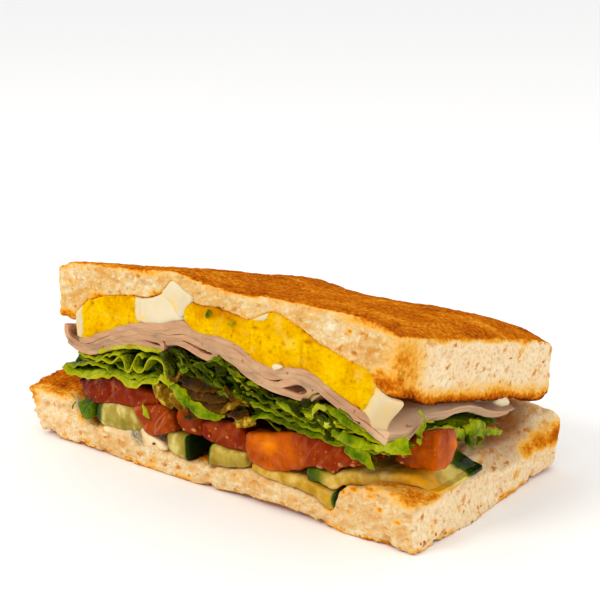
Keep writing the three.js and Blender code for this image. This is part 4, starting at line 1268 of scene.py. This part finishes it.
def make_lettuce_core():
    """The CAD's heap, shrunk so that the leaves cover it."""
    points, faces = cad_copy("lettuce", HEAP_QUAD, rounds=2)
    inward = 1.0 + 0.9 * noise(points, 3, 210, 2)
    inward = inward + 4.5 * smooth(points[:, 1], CUT + 6, CUT)
    points = swollen(points, faces, -np.maximum(inward, 0.2))
    # Painted shade: the heap's dark tone stands for the shade deep among the leaves.
    tone = 0.1 + 0.1 * noise(points, 3, 211, 2)
    piece("lettuce_core", points, faces, leaf, "lettuce", ["lettuce"], tone=tone, rim=0, brown=0)


def make_scrap():
    """The small leaf that lies on the bread at the left."""
    outline = [(-38.9, 10), (-38.1, 11), (-36.6, 10.6), (-35, 10.7), (-33.7, 10), (-34, 8.3), (-35.2, 7),
               (-36.8, 6.6), (-38.2, 8)]
    points, faces = prism(outline, CUT - 0.8, CUT + 5, 0.4, rounds=3)
    tone = 0.42 + 0.14 * noise(points, 3, 217, 2)
    piece("lettuce_scrap", points, faces, leaf, "lettuce", tone=tone, rim=0, brown=0)


make_lettuce_core()
leaves("lettuce_leaves", BIG_LEAVES)
blades("lettuce_shreds", leaf, make_shreds(300))
blades("lettuce_strips", leaf, STRIPS)
blades("lettuce_wilted", make_wilted(), WILTED)
make_scrap()


# ---------- Tomato and cucumber ----------

tomato, cucumber = make_tomato(), make_cucumber()
# How orange each piece is along the cut, as (x, hue), and how strongly its fibres show.
TOMATO_LOOKS = {
    1: ([(-40, 0.1), (-34, 0.22), (-24, 0.3), (-18, 0.24), (-14, 0.44), (-11, 0.1)], 0.5),
    2: ([(-20, 0.8), (-18.6, 0.46), (-12, 0.46), (-9, 0.55), (-7.4, 0.5)], 0.8),
    3: ([(-8, 0.5), (-6, 0.42), (0, 0.4)], 0.1),
    4: ([(0, 0.22), (4, 0.34), (9, 0.28), (12, 0.1), (14, 0.3)], 0.3),
    5: ([(13.5, 0.36), (15, 0.56), (18, 0.66), (26, 0.62), (31, 0.44), (36, 0.34), (46, 0.2)], 0.25),
    6: ([(47, 0.5), (52, 0.52), (56, 0.6)], 0.2),
}
# The quads of the cube at the right, which is seen from two sides, and of the pieces behind the cut.
TOMATO_QUADS = {6: 0.34, 7: COARSE_QUAD, 8: COARSE_QUAD, 9: COARSE_QUAD}


def make_tomatoes():
    for i in range(1, 10):
        grow = 0.5 if i in (3, 4, 5) else 0.3
        points, faces = cad_copy(f"tomato_{i}", TOMATO_QUADS.get(i, FINE_QUAD), grow, rounds=1)
        if i == 1:
            low = smooth(points[:, 2], 16, 12.5) * smooth(points[:, 1], -18, -25)
            points = points - low[:, None] * [0, 0.5, 0.8]
        x, z = points[:, 0], points[:, 2]
        hues, pale = TOMATO_LOOKS.get(i, ([(0, 0.3)], 0.3))
        hue = np.interp(x, *zip(*hues)) + 0.14 * noise(points, 3.5, 220 + i, 2)
        if i == 1:
            hollow = blob(points, (-22.5, CUT, 18.4), (4.4, 3, 1.3))
            hue, pale = lerp(hue, 0.08, hollow), pale * (1 - hollow) * smooth(x, -15, -18)
        # Piece 5 has a painted highlight, a lighter orange patch around x = 22, and is redder towards its
        # top.
        if i == 5:
            hue = hue + 0.22 * blob(points, (22, CUT, 13.4), (7, 4, 2.8)) - 0.12 * smooth(z, 15.5, 17.5)
        # Painted light: piece 6's faces that face the right are more orange and lighter; the piece is
        # redder towards its top.
        if i == 6:
            to_right = np.maximum(normals(points, faces)[:, 0], 0)
            hue = hue + 0.04 * to_right - 0.1 * smooth(z, 18, 21)
        points = swollen(points, faces, 0.2 * noise(points, 2, 240 + i, 2))
        piece(f"tomato_piece_{i}", points, faces, tomato, "tomato", [f"tomato_{i}"], hue=hue, pale=pale)


# Tomato seeds: where on the cut, and how large. Those beyond x = 46 are in the cube at the right.
SEEDS = [
    (34, 12.2, 0.8), (39.4, 14, 0.8), (36.6, 13.4, 0.5), (31.4, 12.6, 0.45), (42.4, 14.6, 0.5),
    (37.4, 12, 0.5), (33, 14.6, 0.4), (-1.2, 12, 0.6), (5.4, 13.8, 0.45), (3.2, 11.6, 0.4),
    (8.6, 12.6, 0.4), (-4.4, 11.4, 0.35), (50, 17.4, 0.5), (51.6, 19.4, 0.45), (49, 19, 0.4),
    (52.4, 16.8, 0.45), (53.4, 18.6, 0.4),
]


def make_seeds():
    parts = []
    for i, (x, z, size) in enumerate(SEEDS):
        spot = (x, CUT - 0.1 if x < 46 else CUT + 8.3 - 0.9 * (x - 46), z)
        parts.append(pebble(spot, size * random.uniform(0.8, 1.2, 3) * (1.1, 0.45, 0.8), i))
    amber = make_plain("seed", (150, 70, 6), (192, 112, 28), 1, 0.3, 0.3, 0.05)
    piece("tomato_seeds", *joined(parts), amber, "tomato")


def make_dressing():
    """A smear of cream dressing at the left, with its grey-blue ring, and two specks of pepper."""
    outline = [(-32, 5), (-30, 6.3), (-26, 6.5), (-23, 6.9), (-21, 7.7), (-19, 9), (-16.6, 8.6),
               (-15, 7.4), (-12.6, 6.4), (-10.2, 5.4), (-12, 4.5), (-20, 4.3), (-28, 4.6)]
    points, faces = prism(outline, CUT - 0.1, CUT + 6, 0.4, rounds=6)
    points = swollen(points, faces, 0.4 * noise(points, 2.4, 280, 2))
    cream = make_plain("dressing", (218, 184, 128), (236, 212, 166), 3, 0.35, 0.4, 0.15)
    piece("dressing_smear", points, faces, cream, "sauce")
    ring = [(-20.8, CUT - 0.5, 7.6), (-20.4, CUT - 0.7, 6.2), (-19, CUT - 0.8, 5.6),
            (-17.2, CUT - 0.8, 5.5)]
    middle = [(-19.8, CUT - 0.3, 7.4), (-18.6, CUT - 0.6, 7.2), (-17.8, CUT - 0.5, 6.4)]
    parts = [blade(ring, (0.5, 1, 1, 0.5), 0.3)[:2], blade(middle, (0.6, 1.5, 0.6), 0.3)[:2]]
    grey = make_plain("ring", (116, 108, 76), (196, 186, 150), 1.4, 0.3, 0.5, 0.05)
    piece("dressing_ring", *joined(parts), grey, "sauce")
    spots = [(-13.8, CUT - 0.5, 5.8), (-37.5, CUT - 0.4, 7.2)]
    parts = [pebble(spot, (0.4, 0.3, 0.3), i) for i, spot in enumerate(spots)]
    pepper = make_plain("pepper", (52, 30, 8), (96, 60, 20), 0.6, 0.6, 0, 0.05)
    piece("pepper_specks", *joined(parts), pepper, "sauce")


def make_crumbs():
    """Loose crumbs that cling to the edges of the bread."""
    parts = []
    for name, count in (("toast_base", 60), ("toast_lid", 24)):
        mesh = bpy.data.objects[name].data
        spots = np.empty(len(mesh.vertices) * 3, np.float32)
        mesh.vertices.foreach_get("co", spots)
        spots = spots.reshape(-1, 3) / MM - ORIGIN
        x, y, z = spots.T
        low = z < 0.6 if name == "toast_base" else z < fine_lid_under(x) + 0.8
        spots = spots[low & ((y < CUT + 0.6) | (x > 56))]
        for spot in random.choice(spots, count):
            parts.append(pebble(spot + (0, 0, 0.2), random.uniform(0.15, 0.4, 3), len(parts)))
    toast = np.repeat(random.uniform(0.2, 0.6, len(parts)), len(parts[0][0]))
    piece("bread_crumbs", *joined(parts), bread, "toast", toast=toast, pale=0, stain=0, pit=0)


# Of each piece: a point on its skin, the way the skin faces, and how deep its green goes.
RINDS = {
    1: ((-33.4, CUT, 9), (-1, 0, 0.1), 3.6), 2: ((-3.7, CUT, 6.5), (1, 0, 0), 0.9),
    3: ((2, CUT, 6.5), (-1, 0, 0.2), 2), 4: ((38, CUT, 6), (1, 0, 0.15), 1.8),
    5: ((56.5, -8, 11.6), (0.3, 0.5, 0.8), 2), 6: ((-24, 5, 10), (0, 1, 0), 2),
    7: ((1, 5, 10), (0, 1, 0), 2), 8: ((25, 5, 10), (0, 1, 0), 2),
}
# Of each piece at the cut: how olive, amber and fresh its flesh is, and the middle of the fresh part.
FLESH = {
    1: (0.15, 0, 0.3, (-27.6, CUT, 9)), 2: (0.15, 0, 0.2, (-8, CUT, 6)),
    3: (0.35, 0.1, 0.2, (8.6, CUT, 8)), 4: (0.3, 0.38, 0, (0, CUT, 0)), 5: (0.35, 0, 0, (0, CUT, 0)),
}


def make_cucumbers():
    for i in range(1, 9):
        points, faces = cad_copy(f"cucumber_{i}", FINE_QUAD if i in FLESH else COARSE_QUAD, 0.3, rounds=2)
        x, y, z = points.T
        if i == 5:
            down = 0.85 * np.maximum(z - 9.3, 0) * smooth(x, 50, 57) ** 1.3
            down = down + 1.1 * smooth(z, 10, 13) * smooth(x, 42, 48)
            points = np.stack([x, y + 2.4 * smooth(y, -13, -5) * smooth(x, 51, 56), z - down], 1)
        spot, way, green = RINDS[i]
        inside = (spot - points) @ (way / np.linalg.norm(way))
        rind = smooth(inside, green, 0.1) + 0.12 * noise(points, 2, 250 + i)
        olive, amber, fresh, fresh_middle = FLESH.get(i, (0.15, 0, 0, (0, 0, 0)))
        olive = olive * smooth(noise(points, 4, 260 + i, 2), -0.5, 0.8)
        fresh = fresh * blob(points, fresh_middle, (3.2, 6, 3))
        if i == 5:
            skin = smooth(inside + 0.5 * noise(points, 1.6, 266, 2), 2.3, 1.3)
            skin = skin * (0.66 + 0.3 * smooth(inside, 1.2, 0.2))
            rind = np.maximum(skin * smooth(x, 50, 54), 0.6 * smooth(x, 38, 31))
            right = smooth(x, 44, 51)
            turn = smooth(points[:, 1] + noise(points, 2, 265), -16.5, -13.5)
            amber = np.maximum(0.34, 0.9 * right * (1 - turn))
            fresh = 0.8 * right * turn
        points = swollen(points, faces, 0.12 * noise(points, 2, 270 + i, 2))
        piece(f"cucumber_piece_{i}", points, faces, cucumber, "cucumber", [f"cucumber_{i}"],
              rind=np.clip(rind, 0, 1), olive=olive, amber=amber, fresh=fresh)


make_tomatoes()
make_cucumbers()
make_seeds()
make_dressing()
make_crumbs()
